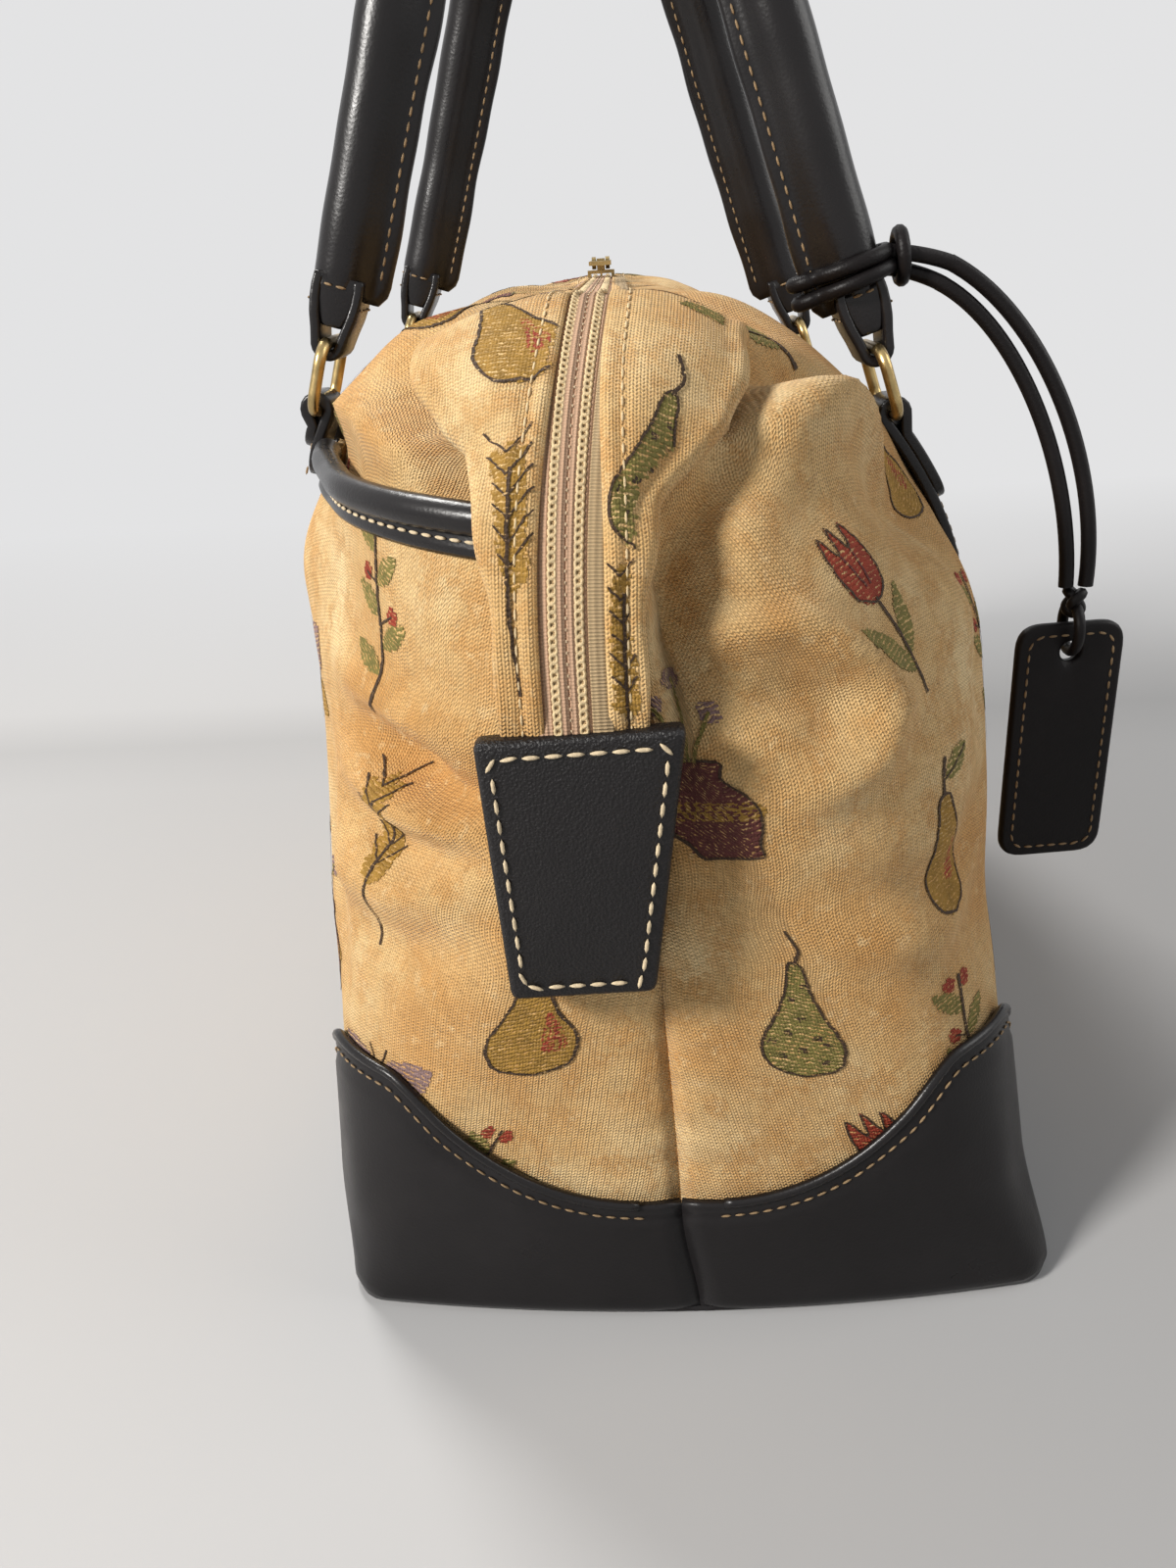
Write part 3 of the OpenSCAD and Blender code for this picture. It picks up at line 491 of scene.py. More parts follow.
def shaded(tree, tone, shade):
    """A colour times a grey value."""
    grey = put(tree, "ShaderNodeCombineXYZ", X=shade, Y=shade, Z=shade).outputs[0]
    return blended(tree, 1.0, tone, grey, "MULTIPLY")


def ramp(tree, factor, stops):
    node = put(tree, "ShaderNodeValToRGB", Fac=factor)
    while len(node.color_ramp.elements) < len(stops):
        node.color_ramp.elements.new(0.5)
    for element, (place, value) in zip(node.color_ramp.elements, stops):
        element.position = place
        element.color = value if len(value) == 4 else (*value, 1)
    return node.outputs[0]


def mask(tree, value, low, high):
    """Black below one value and white above another."""
    return ramp(tree, value, [(low, (0, 0, 0)), (high, (1, 1, 1))])


def toned(tree, value, colour_value, stops):
    """A colour that gets darker and paler with a value; each stop is a place and a gain."""
    return ramp(tree, value, [(place, rgb(colour_value, gain)) for place, gain in stops])


def material(name, rough, metal=0.0):
    mat = bpy.data.materials.new(name)
    mat.use_nodes = True
    shader = mat.node_tree.nodes["Principled BSDF"]
    return mat, mat.node_tree, fill(mat.node_tree, shader, Roughness=rough, Metallic=metal)


def bump(tree, shader, height, strength, distance):
    made = put(tree, "ShaderNodeBump", Strength=strength, Distance=distance, Height=height)
    tree.links.new(made.outputs[0], shader.inputs["Normal"])


def noise(tree, where, scale, detail=3.0, rough=0.5):
    return put(tree, "ShaderNodeTexNoise", Vector=where, Scale=scale, Detail=detail, Roughness=rough).outputs["Fac"]


def stretched(tree, where, scale):
    return put(tree, "ShaderNodeMapping", Vector=where, Scale=scale).outputs[0]


def rgb(value, gain=1.0):
    return (min(1, value[0] * gain), min(1, value[1] * gain), min(1, value[2] * gain), 1)


def canvas_cloth(tree):
    """Colour and height of the mottled woven canvas."""
    C, T = paints(), trims()
    place = put(tree, "ShaderNodeTexCoord")
    spot, cloth = place.outputs["Object"], place.outputs["UV"]
    large = noise(tree, spot, 17, 5, 0.62)
    base = ramp(tree, large, [(0.36, rgb(C.canvas_ochre)), (0.5, rgb(C.canvas_mid)), (0.66, rgb(C.canvas_pale))])
    flecks = ((130, 5, 0.78, 0.47, 0.6, 0.8, rgb(C.canvas_ochre, 0.95)),
              (260, 3, 0.7, 0.55, 0.7, 0.5, rgb(C.canvas_pale, 1.08)),
              (760, 4, 0.75, 0.56, 0.68, 0.42, rgb(C.canvas_ochre, 0.55)))
    for scale, detail, rough, low, high, share, value in flecks:
        spots = mask(tree, noise(tree, spot, scale, detail, rough), low, high)
        base = blended(tree, maths(tree, "MULTIPLY", spots, share), base, value)
    split = put(tree, "ShaderNodeSeparateXYZ", Vector=cloth)
    turns = 2 * math.pi / T.weave
    warp = maths(tree, "SINE", maths(tree, "MULTIPLY", split.outputs[0], turns * 0.62))
    bent = maths(tree, "MULTIPLY", warp, 1.3)
    weft = maths(tree, "SINE", maths(tree, "MULTIPLY_ADD", split.outputs[1], turns, bent))
    cross = maths(tree, "SINE", maths(tree, "MULTIPLY", split.outputs[0], turns * 1.24))
    weave = maths(tree, "MULTIPLY_ADD", cross, 0.4, maths(tree, "MULTIPLY", weft, 0.6))
    yarn = maths(tree, "ADD", noise(tree, stretched(tree, cloth, (160, 2300, 1)), 1, 2, 0.5),
                 noise(tree, stretched(tree, cloth, (2300, 160, 1)), 1, 2, 0.5))
    shade = maths(tree, "ADD", maths(tree, "MULTIPLY_ADD", yarn, 0.52, 0.5), maths(tree, "MULTIPLY", weave, 0.24))
    return shaded(tree, base, shade), maths(tree, "ADD", weave, yarn), cloth, spot


def canvas_material():
    mat, tree, shader = material("canvas", 0.86)
    tone, height, _, _ = canvas_cloth(tree)
    fill(tree, shader, Base_Color=tone, Sheen_Weight=0.12, Sheen_Roughness=0.5, Specular_IOR_Level=0.25)
    bump(tree, shader, height, 0.7, 0.0003)
    return mat


def woven_material(name, value, cover):
    """Pattern threads woven into the canvas, which shows between them."""
    mat, tree, shader = material(name, 0.78)
    tone, height, cloth, spot = canvas_cloth(tree)
    split = put(tree, "ShaderNodeSeparateXYZ", Vector=cloth)
    wander = noise(tree, spot, 420, 2, 0.6)
    picks = maths(tree, "MULTIPLY", split.outputs[1], 5200)
    lines = maths(tree, "SINE", maths(tree, "MULTIPLY_ADD", wander, 9.0, picks))
    lift = maths(tree, "ADD", maths(tree, "MULTIPLY", lines, 0.2), noise(tree, spot, 900, 2, 0.6))
    shown = mask(tree, lift, 1 - cover - 0.08, 1 - cover + 0.1)
    shade = maths(tree, "MULTIPLY_ADD", noise(tree, spot, 300, 2, 0.5), 0.9, 0.5)
    thread = shaded(tree, rgb(value), shade)
    fill(tree, shader, Base_Color=blended(tree, shown, tone, thread), Specular_IOR_Level=0.3)
    bump(tree, shader, maths(tree, "ADD", height, maths(tree, "MULTIPLY", lines, 1.2)), 0.5, 0.00025)
    return mat


def leather_material(name, value, rough, cell, depth, specular, relief=1.6):
    """Dark leather with pores; cell is the scale of the pores and depth the strength of their relief."""
    mat, tree, shader = material(name, rough)
    spot = put(tree, "ShaderNodeTexCoord").outputs["Object"]
    smooth_cells = {"feature": "SMOOTH_F1"}
    pores = put(tree, "ShaderNodeTexVoronoi", smooth_cells, Vector=spot, Scale=cell, Smoothness=0.6).outputs["Distance"]
    fine = noise(tree, spot, cell * 2.2, 3, 0.6)
    tone = toned(tree, noise(tree, spot, 26, 4, 0.55), value, [(0.3, 0.8), (0.55, 1), (0.75, 1.35)])
    wear = maths(tree, "MULTIPLY_ADD", noise(tree, spot, 60, 4, 0.6), 0.3, rough - 0.15)
    fill(tree, shader, Base_Color=tone, Roughness=wear, Specular_IOR_Level=specular)
    bump(tree, shader, maths(tree, "MULTIPLY_ADD", pores, relief, fine), depth, 0.0003)
    return mat


def thread_material(name, value):
    mat, tree, shader = material(name, 0.7)
    spot = put(tree, "ShaderNodeTexCoord").outputs["Object"]
    fill(tree, shader, Base_Color=toned(tree, noise(tree, spot, 700, 2, 0.6), value, [(0.3, 0.72), (0.7, 1.12)]))
    bump(tree, shader, noise(tree, spot, 2600, 2, 0.6), 0.5, 0.0002)
    return mat


def brass_material():
    mat, tree, shader = material("aged brass", 0.3, 1.0)
    spot = put(tree, "ShaderNodeTexCoord").outputs["Object"]
    tone = toned(tree, noise(tree, spot, 160, 4, 0.6), paints().brass, [(0.3, 0.62), (0.6, 1), (0.8, 1.15)])
    wear = maths(tree, "MULTIPLY_ADD", noise(tree, spot, 420, 3, 0.6), 0.35, 0.14)
    fill(tree, shader, Base_Color=tone, Roughness=wear)
    bump(tree, shader, noise(tree, spot, 900, 2, 0.5), 0.08, 0.0002)
    return mat


def tape_material(name, value, cord, pick):
    """Ribbed zip tape: fine cords along the tape."""
    mat, tree, shader = material(name, 0.8)
    place = put(tree, "ShaderNodeTexCoord")
    split = put(tree, "ShaderNodeSeparateXYZ", Vector=place.outputs["UV"])
    cords = maths(tree, "SINE", maths(tree, "MULTIPLY", split.outputs[0], 2 * math.pi / cord))
    picks = maths(tree, "SINE", maths(tree, "MULTIPLY", split.outputs[1], 2 * math.pi / 0.0007))
    height = maths(tree, "MULTIPLY_ADD", picks, pick, maths(tree, "MULTIPLY", cords, 1 - 0.5 * pick))
    ribs = maths(tree, "MULTIPLY_ADD", height, 0.32, 0.5)
    fill(tree, shader, Base_Color=toned(tree, ribs, value, [(0.1, 0.72), (0.55, 1), (0.95, 1.25)]))
    bump(tree, shader, height, 0.6, 0.00025)
    return mat


def board_material():
    mat, tree, shader = material("stiffening board", 0.8)
    spot = put(tree, "ShaderNodeTexCoord").outputs["Object"]
    tone = ramp(tree, noise(tree, spot, 120, 3, 0.6), [(0.3, (0.2, 0.15, 0.1)), (0.7, (0.27, 0.21, 0.14))])
    fill(tree, shader, Base_Color=tone)
    bump(tree, shader, noise(tree, spot, 700, 2, 0.5), 0.2, 0.0003)
    return mat


LEATHERS = {
    "base": ("base leather", "base_leather", 0.33, 1500, 0.06, 0.2),
    "trim": ("trim leather", "trim_leather", 0.29, 1200, 0.08, 0.34),
    "grain": ("grained leather", "trim_leather", 0.36, 1700, 0.5, 0.34, 1.9),
    "lace": ("lace leather", "trim_leather", 0.42, 1500, 0.15, 0.16),
}
THREADS = {"tan": "tan_thread", "cream": "cream_thread", "pale": "canvas_thread"}
TAPES = {"tape": ("zip tape", "zip_tape", 0.00095, 0.4), "tape edge": ("zip tape edge", "tape_edge", 0.0014, 1.1)}
COVER = {"brick": 0.76, "wine": 0.76, "olive": 0.7, "gold": 0.74, "umber": 0.82, "mauve": 0.68}
INKS = tuple(COVER)
PLAIN_FINISHES = {"canvas": canvas_material, "brass": brass_material, "board": board_material}


def make_finish(name):
    C = paints()
    if name in LEATHERS:
        label, key, *values = LEATHERS[name]
        return leather_material(label, getattr(C, key), *values)
    if name in THREADS:
        return thread_material(THREADS[name].replace("_", " "), getattr(C, THREADS[name]))
    if name in TAPES:
        label, key, *values = TAPES[name]
        return tape_material(label, getattr(C, key), *values)
    if name in COVER:
        return woven_material(name + " weft", getattr(C, name), COVER[name])
    return PLAIN_FINISHES[name]()


def finish(name):
    """A finish by name, made on first use."""
    if name not in MADE:
        MADE[name] = make_finish(name)
    return MADE[name]


def settle(obj, body, slot, *nodes):
    """Joins a finished piece to its body and hides the nodes that it stands for."""
    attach(obj, body)
    if nodes:
        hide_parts(*nodes)
    return obj


def stitch_tree(looped=False):
    """Geometry nodes: a row of stitches, or of chain loops, along each line of a wire mesh."""
    name = "Chain Row" if looped else "Stitch Row"
    if name in bpy.data.node_groups:
        return bpy.data.node_groups[name]
    tree = bpy.data.node_groups.new(name, "GeometryNodeTree")
    face = tree.interface
    face.new_socket("Geometry", in_out="INPUT", socket_type="NodeSocketGeometry")
    for label in ("Pitch", "Stitch", "Thread"):
        face.new_socket(label, in_out="INPUT", socket_type="NodeSocketFloat")
    face.new_socket("Finish", in_out="INPUT", socket_type="NodeSocketMaterial")
    face.new_socket("Geometry", in_out="OUTPUT", socket_type="NodeSocketGeometry")
    start, end = tree.nodes.new("NodeGroupInput"), tree.nodes.new("NodeGroupOutput")
    given = start.outputs
    line = put(tree, "GeometryNodeMeshToCurve", Mesh=given["Geometry"])
    even = put(tree, "GeometryNodeResampleCurve", {"mode": "LENGTH"}, Curve=line.outputs[0], Length=given["Pitch"])
    tangent = tree.nodes.new("GeometryNodeInputTangent").outputs[0]
    turn = put(tree, "FunctionNodeAlignRotationToVector", {"axis": "X"}, Vector=tangent)
    if looped:
        bow = put(tree, "GeometryNodeCurvePrimitiveCircle", Resolution=9, Radius=0.5)
        cord = put(tree, "GeometryNodeCurvePrimitiveCircle", Resolution=5, Radius=0.24)
        ball = put(tree, "GeometryNodeCurveToMesh", Curve=bow.outputs[0], Profile_Curve=cord.outputs[0])
    else:
        ball = put(tree, "GeometryNodeMeshUVSphere", Segments=6, Rings=5, Radius=0.5)
    size = put(tree, "ShaderNodeCombineXYZ", X=given["Stitch"], Y=given["Thread"], Z=given["Thread"])
    many = put(tree, "GeometryNodeInstanceOnPoints", Points=even.outputs[0], Instance=ball.outputs[0],
               Rotation=turn.outputs[0], Scale=size.outputs[0])
    real = put(tree, "GeometryNodeRealizeInstances", Geometry=many.outputs[0])
    soft = put(tree, "GeometryNodeSetShadeSmooth", Geometry=real.outputs[0])
    dyed = put(tree, "GeometryNodeSetMaterial", Geometry=soft.outputs[0], Material=given["Finish"])
    tree.links.new(dyed.outputs[0], end.inputs[0])
    return tree


def stitches(name, lines, thread, body, slot, pitch, stitch, width, looped=False):
    """Rows of stitches along millimetre lines, as one plain mesh."""
    tree = stitch_tree(looped)
    points, edges = [], []
    for line in lines:
        start = len(points)
        points += (np.asarray(line, float) * MM).tolist()
        edges += [(start + k, start + k + 1) for k in range(len(line) - 1)]
    mesh = bpy.data.meshes.new(name)
    mesh.from_pydata(points, edges, [])
    obj = bpy.data.objects.new(name, mesh)
    bpy.context.scene.collection.objects.link(obj)
    made = obj.modifiers.new("Stitches", "NODES")
    made.node_group = tree
    named = {i.name: i.identifier for i in tree.interface.items_tree if i.in_out == "INPUT"}
    for key, value in (("Pitch", pitch), ("Stitch", stitch), ("Thread", width), ("Finish", finish(thread))):
        made[named[key]] = value
    plain(obj)
    if not len(obj.data.polygons):
        raise RuntimeError("no stitches were made for " + name)
    return settle(obj, body, slot)


def leather_stitches(name, lines, body, slot="trim_leather", share=1.0):
    """Rows of tan stitches on leather."""
    T = trims()
    return stitches(name, lines, "tan", body, slot, T.leather_pitch, T.leather_stitch, share * T.thread)


def hinge(side):
    """Hinge of the rings on one side, as Y and Z in millimetres."""
    place = JOINTS["front_ring_swing" if side < 0 else "back_ring_swing"]["pos_m"]
    return np.array([place[1], place[2]]) * METRE


def handle_lean(S):
    half = (hinge(1)[0] - hinge(-1)[0]) / 2
    return math.asin((half - ROLL_REACH - LAYER_GAP) / S.handle_reach)


def on_hinge(S, side, points):
    """Moves points from a handle's own plane to the bag."""
    t = side * handle_lean(S)
    p = np.asarray(points, float)
    y = p[..., 1] * math.cos(t) - p[..., 2] * math.sin(t) + hinge(side)[0]
    z = p[..., 1] * math.sin(t) + p[..., 2] * math.cos(t) + hinge(side)[1]
    return np.stack([p[..., 0], y, z], -1)


# Each fold is a line of places (distance round the half, climb up the wall), its height and its width.
LONG_FOLDS = [([(184, 190), (200, 150), (216, 105)], -5.0, 12), ([(277, 190), (261, 150), (245, 105)], -5.0, 12)]
FOLDS = {
    "back": [([(66, 227), (53, 220), (40, 205), (31, 188), (22, 164)], -9.5, 7.5),
             ([(56, 222), (72, 225), (90, 223), (104, 213), (111, 198)], 7.5, 7.0),
             ([(58, 235), (74, 240), (92, 239), (110, 229)], -8.0, 8),
             ([(38, 176), (52, 176), (61, 165), (64, 155), (58, 145), (44, 139)], 5.2, 4.8),
             ([(42, 165), (53, 157), (50, 149)], -5.2, 6.0), ([(98, 118), (72, 110), (40, 116)], -3.0, 7),
             ([(92, 104), (64, 97), (34, 102)], 2.2, 6), ([(112, 190), (108, 160), (96, 138)], -3.6, 7), *LONG_FOLDS],
    "pocket": [([(76, 150), (66, 143), (56, 139), (46, 139)], -6.4, 4.4), ([(84, 138), (68, 133), (50, 131)], 5.0, 4.2),
               ([(86, 160), (70, 154), (54, 152)], 4.4, 5.4), ([(84, 128), (68, 123), (52, 124)], -5.0, 4.8),
               ([(92, 112), (70, 111), (48, 117)], 3.0, 6), ([(86, 102), (64, 98), (44, 102)], -2.8, 6.5),
               ([(104, 150), (100, 110), (96, 84)], -2.6, 8), *LONG_FOLDS],
    "dome": [([(45, 184), (49, 206), (58, 222), (80, 238)], -14.0, 12), ([(66, 196), (86, 204), (110, 208)], 1.5, 12)],
}
# Each dent is its place (round, up), its reach round and up, and its height.
DENTS = {
    "back": [(51, 232, 9, 7, -12.0), (35, 172, 14, 20, -2.8), (64, 202, 15, 13, -4.2), (70, 132, 30, 36, 2.8),
             (101, 196, 20, 18, -9.0), (20, 80, 22, 40, 1.2)],
    "pocket": [(94, 188, 30, 30, -8.0), (68, 142, 9, 6.0, -3.0), (30, 96, 26, 36, 1.4)],
    "dome": [(88, 214, 22, 18, 1.5), (70, 190, 40, 12, -4.0)],
}
RIPPLE_SEEDS = {"back": 5, "pocket": 9, "dome": 14}
FAR_END_SHARE = 0.8
ENDS_REACH = 140


def sway(z):
    """How far the lower body leans to the pocket side."""
    return -3.2 * smooth(z / 30) * (1 - smooth((z - 85) / 55))


def cloth_shift(G, kind):
    """How far loose cloth stands off the frame's surface; the far end has softer folds than the near one."""
    near = np.minimum(G.s, G.total - G.s)
    away = 1 - np.exp(-((near / 16) ** 2))
    calm = 0.25 + 0.75 * smooth((G.z - 60) / 60)
    total = ripples(G.s, G.a, RIPPLE_SEEDS[kind]) * away * calm
    for s, share in ((G.s, 1.0), (G.total - G.s, FAR_END_SHARE)):
        for points, depth, width in FOLDS[kind]:
            if share == 1 or points[0][0] < ENDS_REACH:
                total = total + share * fold(points, depth, width, s, G.a)
        for place, height, reach, rise, depth in DENTS[kind]:
            total = total + share * depth * np.exp(-(((s - place) / reach) ** 2) - ((G.a - height) / rise) ** 2)
    total = total - 5.0 * np.exp(-((near / 34) ** 2)) * smooth((G.a - 196) / 30)
    pucker = 0.3 * np.exp(-((near / 8) ** 2)) * np.sin(G.a * 0.6)
    return total - 2.5 * np.exp(-((near / 2.6) ** 2)) - pucker


def leather_edge(S, side, u):
    """Height of the scalloped leather edge round one half."""
    level = np.array(0.4)
    p = skin(S, side, u, np.full_like(u, level))
    a, b = half_length(S, level), half_depth(S, side, level)
    y = np.abs(p[..., 1] - lean_y(S, level_z(S, level)))
    reach = np.abs(np.abs(p[..., 0]) - a + 0.3 * S.base_corner) + np.abs(y - b + 0.3 * S.base_corner)
    wave = 0.5 + 0.5 * np.cos(np.pi * np.clip(reach / S.scallop_reach, 0, 1))
    return S.base_dip + (S.base_peak - S.base_dip) * wave


def pocket_edge(S, u):
    q = np.where(u <= QUARTER, u, 2 * QUARTER - u)
    return mix(S.pocket_end_height, S.pocket_height, smooth(q / (ENDS + TURNS)))


def cloth_grid(S, kind):
    """The moved grid of one canvas layer."""
    if "grid " + kind not in MADE:
        side = 1 if kind == "back" else -1
        u, _ = half_columns(S, side, CLOTH_STEP)
        top = level_of(S, pocket_edge(S, u)) if kind == "pocket" else np.full_like(u, 2.0)
        G = panel_grid(S, side, 130 if kind == "dome" else 6, top, CLOTH_STEP)
        shift = cloth_shift(G, kind)
        if kind == "dome":
            edge = np.interp(level_of(S, pocket_edge(S, u)), *climb(S, side))[:, None]
            shift = np.minimum(shift, cloth_shift(G, "pocket") - 3.6 + 40 * smooth((G.a - edge - 3) / 45))
        hem = smooth((2 - G.w) / 0.12) if kind != "pocket" else 1.0
        base = smooth((G.z - 4) / 30)
        G.P = G.P + G.N * (shift * hem * base)[..., None]
        G.P[..., 1] += sway(G.z)
        G.N = grid_out(G.P, side)
        G.uv = cloth_map(G.P)
        MADE["grid " + kind] = G
    return MADE["grid " + kind]


def at_cloth(G, s, a, lift=0.0):
    """Points of a moved grid, and their places on the cloth map, at distances along it and across it."""
    s, a = np.broadcast_arrays(np.asarray(s, float), np.asarray(a, float))
    n, m = G.P.shape[:2]
    x = np.clip(s / G.total * (n - 1), 0, n - 1.001)
    i = x.astype(int)
    f = x - i
    low, high = mix(G.a[i, 0], G.a[i + 1, 0], f), mix(G.a[i, -1], G.a[i + 1, -1], f)
    y = np.clip((a - low) / (high - low) * (m - 1), 0, m - 1.001)
    j = y.astype(int)
    g = (y - j)[..., None]
    f = f[..., None]

    def pick(A):
        return mix(mix(A[i, j], A[i + 1, j], f), mix(A[i, j + 1], A[i + 1, j + 1], f), g)

    return pick(G.P) + lift * unit(pick(G.N)), pick(G.uv)


class BAG_OT_canvas(bpy.types.Operator):
    """Builds the canvas halves and the outer pocket."""

    bl_idname = "bag.canvas"
    bl_label = "Canvas"

    def execute(self, context):
        S = sizes()
        for kind, node in (("back", "back_panel"), ("pocket", "front_pocket"), ("dome", "front_panel")):
            G = cloth_grid(S, kind)
            obj = sheet_piece("canvas_" + kind, G.P, G.side, CANVAS_WALL, [finish("canvas")], G.uv)
            settle(obj, "bag", "canvas", node)
            wide, tall = np.ptp(G.uv[..., 0]), np.ptp(G.uv[..., 1])
            side_a, side_b = G.P[1:, :-1] - G.P[:-1, :-1], G.P[:-1, 1:] - G.P[:-1, :-1]
            area = float(np.linalg.norm(np.cross(side_a, side_b), axis=-1).sum()) * 1e-6
        return {"FINISHED"}


def smooth_line(points, closed=False, n=6):
    """A smooth line through points."""
    p = np.asarray(points, float)
    before, after = (p[-1:], p[:2]) if closed else (2 * p[:1] - p[1:2], 2 * p[-1:] - p[-2:-1])
    q = np.concatenate([before, p, after])
    t = np.linspace(0, 1, n, endpoint=False)[:, None]
    parts = [0.5 * (2 * b + (c - a) * t + (2 * a - 5 * b + 4 * c - d) * t**2 + (3 * b - a - 3 * c + d) * t**3)
             for a, b, c, d in zip(q[:-3], q[1:-2], q[2:-1], q[3:])]
    return np.concatenate(parts if closed else parts + [p[-1:]])


def leaf(x, y, turn, size, wide):
    """Outline of a leaf that leaves its stalk at a place and a turn in degrees."""
    t = math.radians(turn)
    along, aside = np.array([math.cos(t), math.sin(t)]), np.array([-math.sin(t), math.cos(t)])
    base = np.array([(0, 0), (0.3, 0.42), (0.62, 0.46), (1, 0), (0.62, -0.46), (0.3, -0.42)])
    return np.array([x, y]) + size * base[:, :1] * along + wide * base[:, 1:] * aside


def dot(x, y, r):
    return circle(r, 8) + (x, y)


CUP = [(-6, 27), (-7.5, 35), (-5.5, 43), (-2.5, 37), (0, 44), (2.5, 37), (5.5, 43), (7.5, 35), (6, 27), (0, 24)]
PEAR = [(0, 1), (-7, 4), (-9, 12), (-6, 19), (-3.5, 26), (-1.8, 31), (1.8, 31), (3.5, 26), (6, 19), (9, 12), (7, 4)]
BLUSH = [(2, 8), (6.5, 9), (6, 15), (3.4, 20), (2.4, 13)]
GOURD = [(0, 0), (-6.5, 3), (-8, 10), (-5, 18), (-2.6, 26), (-1.5, 33), (1.5, 33), (2.6, 26), (5, 18), (8, 10),
         (6.5, 3)]
SPOTS = [(-4, 6), (0, 8), (4, 5), (-3, 13), (3, 12), (0, 17), (-1.4, 23), (1.2, 27), (5, 10), (-6, 10)]
URN = [(-4, 0), (4, 0), (5, 3), (8.4, 10), (8, 15), (4.6, 20), (5.8, 24), (-5.8, 24), (-4.6, 20), (-8, 15), (-8.4, 10),
       (-5, 3)]
URN_BAND = [(-8.3, 10), (8.3, 10), (8.3, 14), (-8.3, 14)]
STEMS = [[(-1, 24), (-3, 31), (-6.5, 38)], [(0, 24), (0.6, 33), (0, 43)], [(1, 24), (4, 30), (7, 35)]]
TWIGS = [(0.9, 9, 150), (1.4, 15, 35), (0.9, 22, 145), (0.2, 29, 40), (0.8, 36, 138)]
BERRIES = [(-4, 31), (6, 23), (3.6, 43), (-2, 44)]
EARS = np.arange(20, 43, 4.4)


def outlined(outline, width):
    """The dark line round an outline."""
    return "umber", outline + outline[:1], width


def motifs():
    """Simple plants and a moth for the woven pattern: filled outlines and lines, in millimetres above their foot."""
    tulip = ([("brick", CUP), ("olive", leaf(0, 6, 128, 21, 6.5)), ("olive", leaf(0, 9, 58, 18, 6))],
             [("umber", [(0, 0), (0.6, 12), (0, 25)], 0.9), outlined(CUP, 0.6), ("wine", [(-2.5, 37), (-1, 28)], 0.6),
              ("wine", [(2.5, 37), (1, 28)], 0.6)])
    pear = ([("gold", PEAR), ("brick", BLUSH), ("olive", leaf(1.5, 35, 20, 12, 6))],
            [outlined(PEAR, 0.65), ("umber", [(0, 31), (0.5, 35), (2.5, 40)], 0.9),
             ("umber", [(1.5, 35), (12, 39)], 0.45)])
    sprig = ([("olive", leaf(*twig, 11, 5)) for twig in TWIGS] + [("brick", dot(*berry, 1.9)) for berry in BERRIES],
             [("umber", [(0, 0), (1.5, 15), (0, 30), (1.5, 45)], 0.8), ("umber", [(0.2, 29), (-4, 31)], 0.5),
              ("umber", [(1, 20), (6, 23)], 0.5)])
    grains = [("gold", leaf(0.1, y, turn, 7.5, 3.6)) for y in EARS for turn in (62, 118)]
    wheat = (grains + [("gold", leaf(0.5, 43, 90, 7, 3.2))],
             [("umber", [(0, 0), (-0.6, 18), (0.6, 44)], 0.7)]
             + [("umber", [(0, y + 5), (x, y + 11)], 0.4) for y in EARS for x in (-5, 5)])
    gourd = ([("olive", GOURD)] + [("umber", dot(*spot, 0.9)) for spot in SPOTS],
             [outlined(GOURD, 0.6), ("umber", [(0, 33), (1.5, 38), (-1, 43)], 0.9)])
    urn = ([("wine", URN), ("gold", URN_BAND)] + [("mauve", dot(*stem[-1], 2.6)) for stem in STEMS],
           [outlined(URN, 0.6)] + [("olive", stem, 0.8) for stem in STEMS])
    moth = ([("mauve", leaf(0, 22, turn, 18, 12)) for turn in (145, 35)]
            + [("gold", leaf(0, 18, turn, 13, 9)) for turn in (215, -35)],
            [("umber", [(0, 9), (0.3, 18), (0, 28)], 1.7)] + [("umber", [(0, 28), (x, 35)], 0.4) for x in (-3, 3)])
    return [tulip, wheat, gourd, sprig, urn, pear, moth]


def weft(outline, rng, pitch=0.8):
    """Rows of weft that fill an outline, each as two edges."""
    o = smooth_line(outline, closed=True)
    after = np.roll(o, -1, 0)
    strips = []
    for y in np.arange(o[:, 1].min() + pitch / 2, o[:, 1].max(), pitch):
        hit = (o[:, 1] <= y) != (after[:, 1] <= y)
        x = np.sort(o[hit, 0] + (y - o[hit, 1]) / (after[hit, 1] - o[hit, 1]) * (after[hit, 0] - o[hit, 0]))
        for a, b in zip(x[::2], x[1::2]):
            a, b = a + rng.uniform(-0.35, 0.35), b + rng.uniform(-0.35, 0.35)
            if b - a > 0.6:
                line = np.linspace(a, b, int((b - a) / 1.5) + 2)
                strips.append([np.stack([line, np.full_like(line, y + d)], 1) for d in (-0.5 * pitch, 0.5 * pitch)])
    return strips


def strand(points, width, rng):
    """A sewn line as two edges."""
    p = resampled(smooth_line(points), 1.1)
    p = p + rng.normal(0, 0.1, p.shape)
    t = tangents(p)
    aside = np.stack([-t[:, 1], t[:, 0]], 1) * (width / 2 * (1 + rng.uniform(-0.25, 0.25, len(p))))[:, None]
    return [[p - aside, p + aside]]


